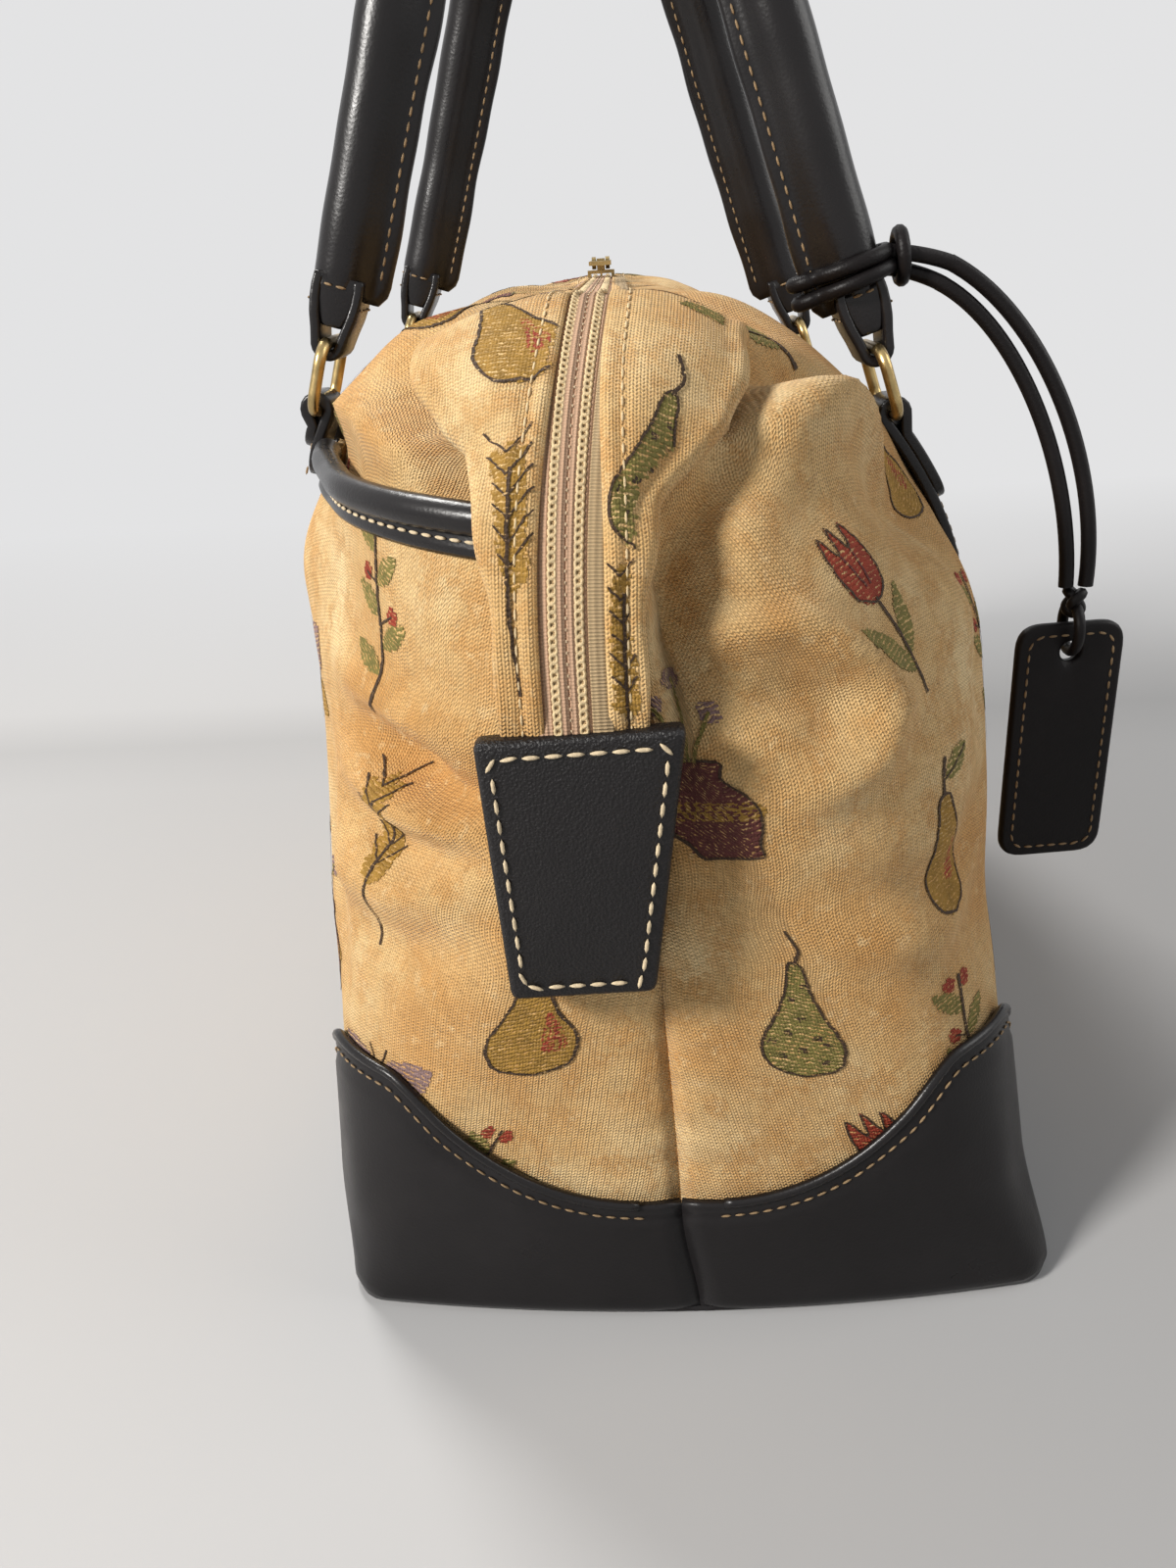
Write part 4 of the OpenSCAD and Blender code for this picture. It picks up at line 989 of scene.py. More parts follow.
def woven(name, G, places, hand, along):
    """One layer's woven pattern. Each place is along, across, turn in degrees and motif; hand is the grid's turn."""
    rng = np.random.RandomState(len(places) + 11)
    shapes = motifs()
    points, maps, faces, inks, count = [], [], [], [], 0
    for s0, a0, turn, which in places:
        here = at_cloth(G, [s0 - 2, s0 + 2, s0, s0], [a0, a0, a0 - 2, a0 + 2])[0]
        per_s, per_a = np.linalg.norm(here[1] - here[0]) / 4, np.linalg.norm(here[3] - here[2]) / 4
        if per_a < 0.1:
            continue
        ways = np.linspace(0, G.total, 400)
        reach = at_cloth(G, ways, np.full_like(ways, a0))[1][:, 0] * METRE
        middle = np.interp(s0, ways, reach)
        c, d = math.cos(math.radians(turn)), math.sin(math.radians(turn))
        fills, lines = shapes[which % len(shapes)]
        strips = [(ink, strip, 0.16) for ink, outline in fills for strip in weft(outline, rng)]
        strips += [(ink, strip, 0.3) for ink, line, width in lines for strip in strand(line, width, rng)]
        for ink, (low, high), lift in strips:
            p = np.concatenate([low, high]) - (0, 22)
            x, y = p[:, 0] * c - p[:, 1] * d, p[:, 0] * d + p[:, 1] * c
            if along:
                s, a = s0 + y / per_s, a0 + hand * x / per_a
            else:
                s, a = np.interp(middle + hand * x, reach, ways), a0 + y / per_a
            column = np.clip(s / G.total * (len(G.a) - 1), 0, len(G.a) - 1).astype(int)
            kept = (s > 1.5) & (s < G.total - 1.5) & (a > G.a[column, 0] + 0.6) & (a < G.a[column, -1] - 0.6)
            n = len(low)
            P, uv = at_cloth(G, s, a, lift)
            points.append(P)
            maps.append(uv)
            for k in range(n - 1):
                if kept[k] and kept[k + 1] and kept[n + k] and kept[n + k + 1]:
                    faces.append((count + k, count + k + 1, count + n + k + 1, count + n + k))
                    inks.append(INKS.index(ink))
            count += 2 * n
    dyes = [finish(ink) for ink in INKS]
    obj = build_mesh(name, np.concatenate(points), faces, dyes, np.concatenate(maps), slots=inks)
    return settle(obj, "bag", "canvas")


HOOD_PLACES = {-1: [(46, 10.5, 3, 1), (106, 17, 24, 5), (150, 26, -70, 1)],
               1: [(22, 11.5, 3, 1), (74, 17, -12, 2), (122, 24, 66, 0)]}
MOTIF_STEP, MOTIF_RISE, MOTIF_STAGGER = 45.5, 57, 28


class BAG_OT_pattern(bpy.types.Operator):
    """Weaves the scattered plants into the canvas."""

    bl_idname = "bag.pattern"
    bl_label = "Woven pattern"

    def execute(self, context):
        S = sizes()
        rng = np.random.RandomState(8)
        for kind, first, rows in (("back", 0, 5), ("pocket", 3, 4), ("dome", 5, 5)):
            G = cloth_grid(S, kind)
            places = []
            for i, s in enumerate(np.arange(24, G.total - 12, MOTIF_STEP)):
                for j in range(rows):
                    a = 34 + MOTIF_RISE * j + MOTIF_STAGGER * (i % 2)
                    hidden = min(s, G.total - s) < 74 and a > 196
                    if hidden or kind == "dome" and a < 205 or a > 268 or a > 236 and i % 2:
                        continue
                    spot = s + rng.uniform(-4, 4), a + rng.uniform(-4, 4), rng.uniform(-16, 16)
                    places.append((*spot, first + 3 * i + 2 * j))
            woven("pattern_" + kind, G, places, G.side, False)
        for side, name in ((-1, "front"), (1, "back")):
            G = hood_grid(S, side)
            far = [(G.total - d, c, turn + 180, k + 2) for d, c, turn, k in HOOD_PLACES[side]]
            woven("pattern_margin_" + name, G, HOOD_PLACES[side] + far, side, True)
        return {"FINISHED"}


# Rings of the bottom leather: how far each lies outside the foot of the walls, and its height.
BOTTOM_RINGS = ((-1.0, 0.0), (0.2, 0.0), (0.9, 0.25), (1.0, 0.7), (0.6, 2.2), (-1.0, 2.4))


class BAG_OT_base(bpy.types.Operator):
    """Builds the scalloped leather base and its stitching."""

    bl_idname = "bag.base"
    bl_label = "Leather base"

    def execute(self, context):
        S = sizes()
        rows, edges = [], {}
        for side, name in ((-1, "leather_front"), (1, "leather_back")):
            u, _ = half_columns(S, side, LEATHER_STEP)
            G = panel_grid(S, side, 0.4, level_of(S, leather_edge(S, side, u)), LEATHER_STEP)
            seam = np.minimum(G.s, G.total - G.s)
            shift = BASE_STANDOFF - 1.1 * np.exp(-((seam / 2.2) ** 2)) + 0.25 * ripples(G.s, G.z, 21)
            frac = np.linspace(0, 1, G.P.shape[1])[None, :]
            down = (1 - frac) * (G.z[:, -1:] - G.z[:, :1])
            groove = 0.5 * np.exp(-(((down - BASE_STITCH_DOWN) / 1.1) ** 2))
            shift = shift - groove + 0.3 * smooth((down - 4) / 3) - 1.4 * np.exp(-((G.z / 1.6) ** 2))
            P = G.P + G.N * shift[..., None]
            P[..., 1] += sway(G.z)
            obj = sheet_piece(name + "_skin", P, side, LEATHER_WALL, [finish("base")], cloth_map(P))
            settle(obj, "bag", "base_leather", name)
            N = grid_out(P, side)
            run = slice(2, -2)
            edges[name] = P[run, -1] - 0.5 * N[run, -1]
            line = []
            for i in range(P.shape[0])[run]:
                j = np.interp(BASE_STITCH_DOWN, down[i][::-1], np.arange(P.shape[1])[::-1])
                a = min(int(j), P.shape[1] - 2)
                line.append(mix(P[i, a], P[i, a + 1], j - a) + 0.25 * N[i, a])
            rows.append(line)
        for name, edge in edges.items():
            rings = carried(resampled(edge, LEATHER_STEP), circle(1.25, 10), (0, 0, 1))
            settle(loft(name + "_edge", rings, [finish("trim")]), "bag", "base_leather")
        leather_stitches("base_stitching", rows, "bag", "base_leather", 0.8)
        plan = []
        for grow, z in BOTTOM_RINGS:
            ring = []
            for side in (1, -1):
                u = np.linspace(0, 2 * QUARTER, 161)
                out = skin_out(S, side, u, np.full_like(u, 0.01)) * (1, 1, 0)
                p = skin(S, side, u, np.zeros_like(u)) + grow * out
                ring.append(p if side > 0 else p[::-1])
            ring = np.concatenate(ring)
            ring[:, 2] = z
            plan.append(ring)
        obj = loft("bottom_leather", plan, [finish("base")])
        settle(obj, "bag", "base_leather", "leather_bottom")
        return {"FINISHED"}


# The flange below the roll: distances down from the pocket's edge, and heights above the cloth.
FLANGE_DOWN = np.array([0.0, 1.2, 2.4, 3.6, 4.8, 6.0, 6.8])
FLANGE_LIFT = np.array([1.0, 1.2, 1.4, 1.2, 1.5, 1.4, 0.8])
ROLL_RADIUS, TAB_CLEARANCE = 3.5, 11.0


class BAG_OT_piping(bpy.types.Operator):
    """Builds the rolled and stitched edge of the pocket."""

    bl_idname = "bag.piping"
    bl_label = "Pocket edge"

    def execute(self, context):
        S = sizes()
        G = cloth_grid(S, "pocket")
        top, out = G.P[:, -1], G.N[:, -1]
        up = unit(G.P[:, -1] - G.P[:, -3])
        x = top[:, 0]
        mid = len(x) // 2
        tab, clear = S.handle_span / 2, TAB_CLEARANCE

        def nearest(places, where):
            return int(np.argmin(np.abs(places - where)))

        spans = [(2, nearest(x[:mid], tab + clear)), (nearest(x, tab - clear), nearest(x, clear - tab)),
                 (mid + nearest(x[mid:], -tab - clear), len(x) - 3)]
        rows, rolls = [], []
        for k, (a, b) in enumerate(spans):
            part = slice(a, b + 1)
            path = top[part] + 0.8 * up[part] + 1.5 * out[part]
            rings = carried(path, circle(ROLL_RADIUS, 18), (0, 0, 1))
            ends = np.minimum(np.arange(len(path)), np.arange(len(path))[::-1])
            fit = np.where(ends < 2, 0.72 + 0.14 * ends, 1.0)[:, None, None]
            rings = path[:, None] + (rings - path[:, None]) * fit
            rolls.append(loft("pocket_roll_%d" % k, rings, [finish("trim")]))
            where = np.repeat(G.s[part, -1:], len(FLANGE_DOWN), 1)
            flange = at_cloth(G, where, G.a[part, -1:] - FLANGE_DOWN[None, ::-1], FLANGE_LIFT[None, ::-1, None])[0]
            rolls.append(sheet_piece("pocket_flange_%d" % k, flange, -1, FLANGE_WALL, [finish("trim")]))
            rows.append(at_cloth(G, G.s[part, -1], G.a[part, -1] - 3.7, 1.5)[0])
        for obj in rolls[1:]:
            settle(obj, "bag", "trim_leather")
        settle(rolls[0], "bag", "trim_leather", "pocket_piping")
        stitches("pocket_stitching", rows, "cream", "bag", "trim_leather", *PIPING_ROW)
        return {"FINISHED"}


def end_point(S, w):
    return np.stack([half_length(S, w) + S.end_bow * close_in(w), level_z(S, w)], -1)


def zip_run(S, low_z, step=1.5):
    """The zip's run from one end tab over the top to the other: points, outward directions and distances."""
    w = np.concatenate([np.linspace(float(level_of(S, low_z)), 1.98, 160), [2.0]])
    p = end_point(S, w)
    d = end_point(S, w + 0.01) - end_point(S, w - 0.01)
    out = unit(np.stack([d[:, 1], -d[:, 0]], -1))
    tail_standoff = (2 * PIPING_RADIUS - CANVAS_WALL + TAIL_CLEARANCE) / 0.85
    lift = TAPE_GAP + (TAIL_WALL + LAYER_GAP) * smooth((2 - w) / 0.15) + tail_standoff * smooth((1.85 - w) / 0.7)
    q = p + lift[:, None] * out
    near = np.stack([q[:, 0], -S.top_lean - 7.2 * smooth((2 - w) / 0.85), q[:, 1]], -1)
    line = resampled(np.concatenate([near, near[::-1] * (-1, 1, 1)]), step)
    out = unit(np.cross(np.array([0.0, 1.0, 0.0]), tangents(line)))
    run = travel(line)
    return line, out, run


def zip_rings(line, out, section):
    """A section carried along the zip: its first axis lies across the zip and its second points outward."""
    across = np.cross(out, tangents(line))
    return swept(line, section, across * np.sign(across[:, 1:2]), out)


FRONT_HOOD = ((0, 23, 44, 60, 74, 80, 92, 108, 150, 190), (14.0, 14.4, 15.3, 18.5, 21.5, 27.5, 35, 37.5, 40, 15))
BACK_HOOD = ((0, 23, 44, 63, 71, 78, 84, 99, 112, 150, 190), (14.4, 15.6, 16, 18, 22.5, 27, 31, 33, 33, 36, 16))
HOOD_INNER = {-1: (5.3, 4.0), 1: (7.4, 4.4)}


def hood_grid(S, side):
    """The canvas beside the zip: narrow above the end tab, wide over the shoulder, with its edge folded under."""
    key = "hood %d" % side
    if key not in MADE:
        line, out, run = zip_run(S, ZIP_LOW)
        near = np.minimum(run, run[-1] - run)
        edge = np.interp(near, *(FRONT_HOOD if side < 0 else BACK_HOOD))[:, None]
        uneven = (0.5 * np.sin(run / 7.3) + 0.4 * np.sin(run / 3.9 + 1))[:, None]
        edge = edge + uneven * smooth((near - 10) / 40)[:, None]
        wall = (mix(0.9, 3.6, smooth((near - 18) / 40)) * (1 - 0.7 * smooth((near - 120) / 50)))[:, None]
        droop = (0.3 + 6.5 * smooth((near - 48) / 45) * (1 - 0.5 * smooth((near - 120) / 50)))[:, None]
        sink = (5.0 * smooth((near - 112) / 45))[:, None]
        t = np.linspace(0, 1, 18)[None]
        inner = mix(*HOOD_INNER[side], smooth((near - 45) / 55))[:, None]
        c = inner + (edge - wall - inner) * t
        gone = c - inner
        free = smooth((near - 15) / 8)[:, None]
        rib = free * 0.9 * np.exp(-(((gone - 1.7) / 1.5) ** 2)) - 0.45 * np.exp(-(((gone - MARGIN_STITCH) / 0.8) ** 2))
        low = (1 - 0.75 * smooth((near - 82) / 28))[:, None]
        swell = 1.6 * smooth((near - 40) / 30)[:, None] * np.sin(np.pi * t) ** 1.5
        wave = 0.32 * ripples(c + 0 * edge, run[:, None] + 0 * c, 31 + side, (14, 50)) * smooth(gone / 8)
        h = 0.6 + 0.7 * free + low * (rib + swell) + wave - droop * t**2 - sink * smooth(t * 1.6)
        turn = np.radians(np.linspace(70, -90, 9))[None]
        c2, h2 = edge - wall + wall * np.cos(turn), h[:, -1:] - wall + wall * np.sin(turn)
        k = np.linspace(0, 1, 7)[None, 1:]
        c3, h3 = mix(edge - wall, inner + 0 * edge, k), mix(h[:, -1:] - 2 * wall, -0.6 + 0 * edge, k)
        section = np.stack([side * np.concatenate([c, c2, c3], 1), np.concatenate([h, h2, h3], 1)], -1)
        rings = zip_rings(line, out, section)
        seen = slice(0, t.shape[1])
        uv = run_map(rings)
        P = rings[:, seen]
        MADE[key] = SimpleNamespace(rings=rings, inner=inner[:, 0], uv_rings=uv, P=P, a=c, total=run[-1],
                                    N=grid_out(P, -side), uv=uv[:, seen])
    return MADE[key]


def zip_strip(name, line, out, section, look, slot, *nodes):
    """A closed strip along the whole run of the zip."""
    rings = zip_rings(line, out, section)[::-1]
    return settle(loft(name, rings, [finish(look)], uv=run_map(rings)), "bag", slot, *nodes)


class BAG_OT_zip(bpy.types.Operator):
    """Builds the zip, its canvas strip and its stitching."""

    bl_idname = "bag.zip"
    bl_label = "Zip"

    def execute(self, context):
        S = sizes()
        line, out, run = zip_run(S, ZIP_LOW)
        tape = soft_box(-6.6, 8.6, 0.0, TAPE_WALL, 0.3, 3)
        zip_strip("zip_tape", line, out, tape, "tape", "zip_tape", "zip_tape_front", "zip_tape_back")
        zip_strip("zip_tape_edge", line, out, soft_box(4.2, 8.4, 0.2, 1.25, 0.4, 3), "tape edge", "zip_tape")
        for side, node in ((-1, "zip_coil_front"), (1, "zip_coil_back")):
            coil = circle(1.0, 14) * (0.98, 0.62) + (side * 1.02, 0.72)
            zip_strip(node + "_cover", line, out, coil, "tape", "zip_coil", node)
        chains = (-2.55, 2.55)
        for k, c in enumerate(chains):
            band = soft_box(c - 0.7, c + 0.7, 0.4, 0.95, 0.2, 3)
            zip_strip("zip_chain_band_%d" % (k + 1), line, out, band, "tape edge", "zip_coil")
        rows = [zip_rings(line, out, [(c, 1.05)])[:, 0] for c in chains]
        stitches("zip_chain", rows, "pale", "bag", "zip_coil", *CHAIN_ROW, looped=True)
        rows = [zip_rings(line, out, [(0.0, 1.3)])[:, 0]]
        stitches("zip_centre", rows, "cream", "bag", "zip_coil", *CENTRE_ROW)
        rows = []
        for side, name, nodes in ((-1, "zip_margin_front", ("tail_near", "tail_far")), (1, "zip_margin_back", ())):
            H = hood_grid(S, side)
            rings, uv = (H.rings[::-1], H.uv_rings[::-1]) if side > 0 else (H.rings, H.uv_rings)
            settle(loft(name, rings, [finish("canvas")], uv=uv), "bag", "canvas", *nodes)
            rows.append(at_cloth(H, run[2:-2], H.inner[2:-2] + MARGIN_STITCH, 0.2)[0])
        stitches("zip_margin_stitching", rows, "pale", "bag", "canvas", *MARGIN_ROW)
        return {"FINISHED"}


def outline_out(outline):
    """Outward directions of a counter-clockwise outline."""
    d = np.roll(outline, -1, 0) - np.roll(outline, 1, 0)
    return unit(np.stack([d[:, 1], -d[:, 0]], 1))


def on_faces(place, ring, height):
    """A line on both faces of a flat piece."""
    return [place(np.column_stack([ring, np.full(len(ring), face * height)])) for face in (1, -1)]


def plaque(name, outline, thick, rim, crown, materials, place, hole=None):
    """A stuffed flat leather piece: rounded rim, crowned faces, and a hole if one is given."""
    o = np.asarray(outline, float)
    out = outline_out(o)
    half = thick / 2
    rings = [(o, half - rim)]
    for t in (0.4, 0.75, 1.0):
        bend = t * math.pi / 2
        rings.append((o - out * rim * (1 - math.cos(bend)), half - rim + rim * math.sin(bend)))
    inner = o - out * rim
    if hole is None:
        mid = inner.mean(0)
        for f in (0.86, 0.7, 0.5, 0.3, 0.12):
            rings.append((mid + (inner - mid) * f, half + crown * (1 - f * f)))
    else:
        (hx, hy), r = hole
        turn = np.arctan2(inner[:, 1] - hy, inner[:, 0] - hx)
        rim_ring = np.stack([hx + r * np.cos(turn), hy + r * np.sin(turn)], 1)
        for f in (0.12, 0.3, 0.55, 0.8, 0.94):
            rings.append((mix(inner, rim_ring, f), half + crown * math.sin(math.pi * f)))
        rings.append((rim_ring, half - 0.4))
    k = len(o)
    front, back = ([np.column_stack([p, np.full(k, face * h)]) for p, h in rings] for face in (1, -1))
    stack = back[::-1] + front
    points = np.concatenate(stack)
    n = len(stack)
    faces = ring_faces(n, k, hole is None)
    if hole is None:
        tips = [[*ring[:, :2].mean(0), h] for ring, h in ((stack[0], -half - crown), (stack[-1], half + crown))]
        points = np.concatenate([points, tips])
    else:
        faces += [[(n - 1) * k + j, (n - 1) * k + (j + 1) % k, (j + 1) % k, j] for j in range(k)]
    return build_mesh(name, place(points), faces, materials, np.asarray(points)[:, :2] * MM)


def trapezoid(top, bottom, height, r, step=1.0):
    """Outline of a tapered tab, counter-clockwise from its lower right, with rounded corners; origin at its middle."""
    corners = [(bottom / 2, -height / 2), (top / 2, height / 2), (-top / 2, height / 2), (-bottom / 2, -height / 2)]
    points = []
    for k in range(4):
        a, b, c = (np.array(corners[i % 4], float) for i in (k - 1, k, k + 1))
        p, q = b + unit(a - b) * r, b + unit(c - b) * r
        t = np.linspace(0, 1, 7)[:, None]
        points.append((1 - t) ** 2 * p + 2 * t * (1 - t) * b + t * t * q)
    loop = np.concatenate(points)
    loop = np.concatenate([loop, loop[:1]])
    return resampled(loop, step)[:-1]


def cut_short(ring, pitch):
    """A closed line that ends one stitch before its start, so that no two stitches meet."""
    ring = np.concatenate([ring, ring[:1]])
    run = travel(ring)
    step = run[-1] / round(run[-1] / pitch)
    even = np.linspace(0, run[-1] - step, 4 * int(round(run[-1] / pitch)))
    return np.stack([np.interp(even, run, ring[:, k]) for k in range(2)], 1)


class BAG_OT_end_tabs(bpy.types.Operator):
    """Builds the stitched leather tabs on the ends of the zip strip."""

    bl_idname = "bag.end_tabs"
    bl_label = "End tabs"

    def execute(self, context):
        T = trims()
        rows = []
        for sign, node in ((1, "end_tab_near"), (-1, "end_tab_far")):
            lo, hi = (np.array(c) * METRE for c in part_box(node))
            mid = (lo + hi) / 2
            height = hi[2] - lo[2]

            def place(p, sign=sign, mid=mid):
                p = np.asarray(p, float)
                y = p[:, 0] * math.cos(TAB_TURN) - p[:, 1] * math.sin(TAB_TURN)
                z = p[:, 0] * math.sin(TAB_TURN) + p[:, 1] * math.cos(TAB_TURN)
                lean = 0.03 * z
                side_lean = 0.07 * (z - height / 2)
                x = sign * (p[:, 2] + 0.7 - lean)
                return np.column_stack([mid[0] + x, mid[1] + sign * y + side_lean, mid[2] + z])

            outline = trapezoid(42, 31, height, 2.0)
            obj = plaque(node + "_leather", outline, 6.0, 1.5, 0.7, [finish("grain")], place)
            settle(obj, "bag", "trim_leather", node)
            ring = cut_short(trapezoid(35.2, 25.0, height - 6.8, 0.5), T.bold_pitch * METRE)
            rows += on_faces(place, ring, 3.5)
        stitches("end_tab_stitching", rows, "cream", "bag", "trim_leather", T.bold_pitch, T.bold_stitch, T.bold_thread)
        return {"FINISHED"}


def roll_section():
    """Section of a rolled handle, with its flat stitched edge on the first axis."""
    t = np.radians(np.linspace(44, 316, 27))
    roll = np.stack([7.5 * np.cos(t), 7.0 * np.sin(t)], 1)
    edge = [(7.0, -3.1), (8.3, -2.2), (9.6, -1.9), (11.5, -1.85), (12.3, -1.2), (ROLL_REACH, 0)]
    return np.concatenate([roll, edge, [(c, -d) for c, d in edge[-2::-1]]])


def grip_path(S, steps=150):
    t = np.pi * np.linspace(0, 1, steps)
    t = t - math.radians(14) * np.sin(2 * t) / 2
    c, s, e = np.cos(t), np.sin(t), 2 / 2.6
    x = S.handle_span / 2 * np.sign(c) * np.abs(c) ** e
    return np.stack([x, 0 * t, ROLL_START + (S.handle_reach - ROLL_START) * np.abs(s) ** e], 1)


def strap(name, path, half, wall, ref, materials, ends=(0.0, 0.0)):
    """A leather strap along a path; each end is rounded over the given length."""
    path = np.asarray(path, float)
    run = travel(path)
    half = np.broadcast_to(np.asarray(half, float), run.shape).copy()
    for gap, reach in ((run, ends[0]), (run[-1] - run, ends[1])):
        if reach:
            half *= np.sqrt(np.clip(1 - (1 - np.clip(gap / reach, 0.03, 1)) ** 2, 0, 1))
    sections = np.stack([soft_box(-h, h, -wall / 2, wall / 2, min(0.8, wall * 0.4), 4) for h in np.maximum(half, 0.9)])
    rings = carried(path, sections, ref)
    return loft(name, rings, materials)


LOOP_LEG = [(5.0, 33.0), (5.3, 30), (5.2, 27), (4.7, 23.5), (3.8, 20)]
LOOP_BEND, LOOP_BEND_HEIGHT = 3.2, 17
CORE_HEIGHTS = (33.0, 30.0, 27.0, 24.0, 21.8, 20.9)
# Heights above the hinge, and the half width of a loop end or the half depth of its core there.
LOOP_WIDTH = ([14, 24, 33], [7.4, 7.2, 6.4])
CORE_DEPTH = ([20.9, 21.8, 24, 27, 33], [2.6, 3.4, 4.2, 4.9, 5.0])


def loop_line():
    """Middle line of a loop end, across a handle: down one leg, round the ring and up the other leg."""
    bend = np.radians(np.linspace(0, -180, 15))
    curl = np.stack([LOOP_BEND * np.cos(bend), LOOP_BEND_HEIGHT + LOOP_BEND * np.sin(bend)], 1)
    return np.concatenate([LOOP_LEG, curl, [(-y, z) for y, z in LOOP_LEG[::-1]]])


def feet(S):
    """The two feet of a handle: their X and their word in names."""
    return (S.handle_span / 2, "near"), (-S.handle_span / 2, "far")


class BAG_OT_handles(bpy.types.Operator):
    """Builds the rolled handles, their loop ends and their stitching."""

    bl_idname = "bag.handles"
    bl_label = "Handles"

    def execute(self, context):
        S = sizes()
        leather = [finish("trim")]
        base = grip_path(S)
        lead = np.stack([base[:1] * (1, 1, 0) + (0, 0, z) for z in (28.2, 29.2, 30.2)])[:, 0]
        path = np.concatenate([lead, base, lead[::-1] * (-1, 1, 1)])
        path = resampled(path, 2.5)
        run = travel(path)
        tip = np.minimum(run, run[-1] - run)
        fit = 0.8 + 0.2 * np.sqrt(np.clip(tip / 4, 0, 1))
        rng = np.random.RandomState(3)
        for side, word in ((-1, "front"), (1, "back")):
            body = word + "_handle"
            waver = 1 + 0.012 * sum(np.sin(run * 2 * np.pi / L + rng.uniform(0, 6)) for L in (23, 41, 67))
            sections = roll_section()[None] * (fit * waver)[:, None, None]
            rings = carried(path, sections, (0, -side, 0))
            obj = loft(word + "_roll", on_hinge(S, side, rings), leather)
            settle(obj, body, "trim_leather", word + "_grip")
            rows = []
            for d in (-1, 1):
                line = carried(path, [(9.7, d * 2.05)], (0, -side, 0))[:, 0]
                rows.append(on_hinge(S, side, line[3:-3]))
            for ring, middle in ((rings[1], path[1]), (rings[-2], path[-2])):
                rows.append(on_hinge(S, side, middle + (ring[1:26] - middle) * 1.03))
            for x, which in feet(S):
                half = loop_line()
                line = resampled(np.column_stack([np.full(len(half), x), half]), 1.0)
                wide = np.interp(line[:, 2], *LOOP_WIDTH)
                node = word + "_loop_" + which
                obj = strap(node + "_strap", on_hinge(S, side, line), wide, 2.6, (1, 0, 0), leather)
                settle(obj, body, "trim_leather", node)
                core = np.array([(x, 0, z) for z in CORE_HEIGHTS])
                deep = np.interp(core[:, 2], *CORE_DEPTH)
                rings = np.stack([soft_box(-6.3, 6.3, -d, d, 1.2, 4) for d in deep])
                obj = loft(node + "_core", on_hinge(S, side, carried(core, rings, (1, 0, 0))), leather)
                settle(obj, body, "trim_leather")
                for y in (6.7, -6.7):
                    cross = np.column_stack([np.linspace(x - 5, x + 5, 9), np.full(9, y), np.full(9, 26.4)])
                    rows.append(on_hinge(S, side, cross))
            leather_stitches(word + "_handle_stitching", rows, body)
        return {"FINISHED"}


def wall_at(S, side, x, w):
    a, b = half_length(S, w), half_depth(S, side, w)
    z = level_z(S, w)
    y = side * (b + S.side_bow * close_in(w) * (1 - (x / a) ** 2)) + lean_y(S, z)
    return np.stack([np.full_like(w, x), y, z], -1)


class BAG_OT_ring_tabs(bpy.types.Operator):
    """Builds the leather tabs that hold the rings, and gives the rings their finish."""

    bl_idname = "bag.ring_tabs"
    bl_label = "Ring tabs"

    def execute(self, context):
        S = sizes()
        rows = []
        for side, word, top, tail in ((-1, "front", 210.0, 15), (1, "back", 200.0, 42)):
            for x, which in feet(S):
                node = "%s_tab_%s" % (word, which)
                w = level_of(S, np.linspace(top - tail, top - 3, 24))
                wall = wall_at(S, side, x, w)
                step = tangents(wall)
                out = unit(np.cross(step, np.array([1.0, 0, 0])))
                out = out * np.sign(out[:, 1:2] * side)
                back = wall + out * 1.75
                h = np.array([x, *hinge(side)])
                up, o = step[-1], out[-1]
                turn = np.radians(np.linspace(180, -40, 18))
                curl = h + 3.0 * (np.cos(turn)[:, None] * o + np.sin(turn)[:, None] * up)
                tuck = wall[::-1][1:12] + out[::-1][1:12] * 4.2
                line = resampled(np.concatenate([back, curl, tuck]), 1.2)
                obj = strap(node + "_strap", line, 7.3, 3.0, (1, 0, 0), [finish("trim")], ends=(8.0, 6.0))
                settle(obj, "bag", "trim_leather", node)
                run = wall[2:14] + out[2:14] * 3.4
                rows += [run + (4.9, 0, 0), run - (4.9, 0, 0)]
                dress(node.replace("_tab_", "_ring_"), "brass")
        leather_stitches("ring_tab_stitching", rows, "bag")
        return {"FINISHED"}


def dress(node, name):
    """Gives a frame part its finish."""
    part = frame["nodes"][node]
    if not part.material_slots:
        part.data.materials.append(finish(name))
    for slot in part.material_slots:
        slot.material = finish(name)


def tube(name, path, radius, materials, ref=(0, 0, 1), closed=False, sides=10):
    """A round thong along a path."""
    path = np.asarray(path, float)
    if closed:
        path = np.concatenate([path[-2:], path, path[:2]])
    rings = carried(path, circle(radius, sides), ref)
    if closed:
        rings = np.concatenate([rings[2:-2], rings[2:3]])
    return loft(name, rings, materials, caps=not closed)


def bezier(a, b, c, d, n):
    t = np.linspace(0, 1, n)[:, None]
    a, b, c, d = (np.asarray(p, float) for p in (a, b, c, d))
    return a * (1 - t) ** 3 + 3 * b * t * (1 - t) ** 2 + 3 * c * t * t * (1 - t) + d * t**3


def joined(name, parts):
    """Several meshes as one piece."""
    points, faces, count = [], [], 0
    for part in parts:
        mesh = part.data
        co = np.zeros(len(mesh.vertices) * 3)
        mesh.vertices.foreach_get("co", co)
        points.append(co.reshape(-1, 3) * METRE)
        faces += [[count + v for v in p.vertices] for p in mesh.polygons]
        count += len(mesh.vertices)
    made = build_mesh(name, np.concatenate(points), faces, [m for m in parts[0].data.materials])
    for part in parts:
        mesh = part.data
        bpy.data.objects.remove(part)
        bpy.data.meshes.remove(mesh)
    return made


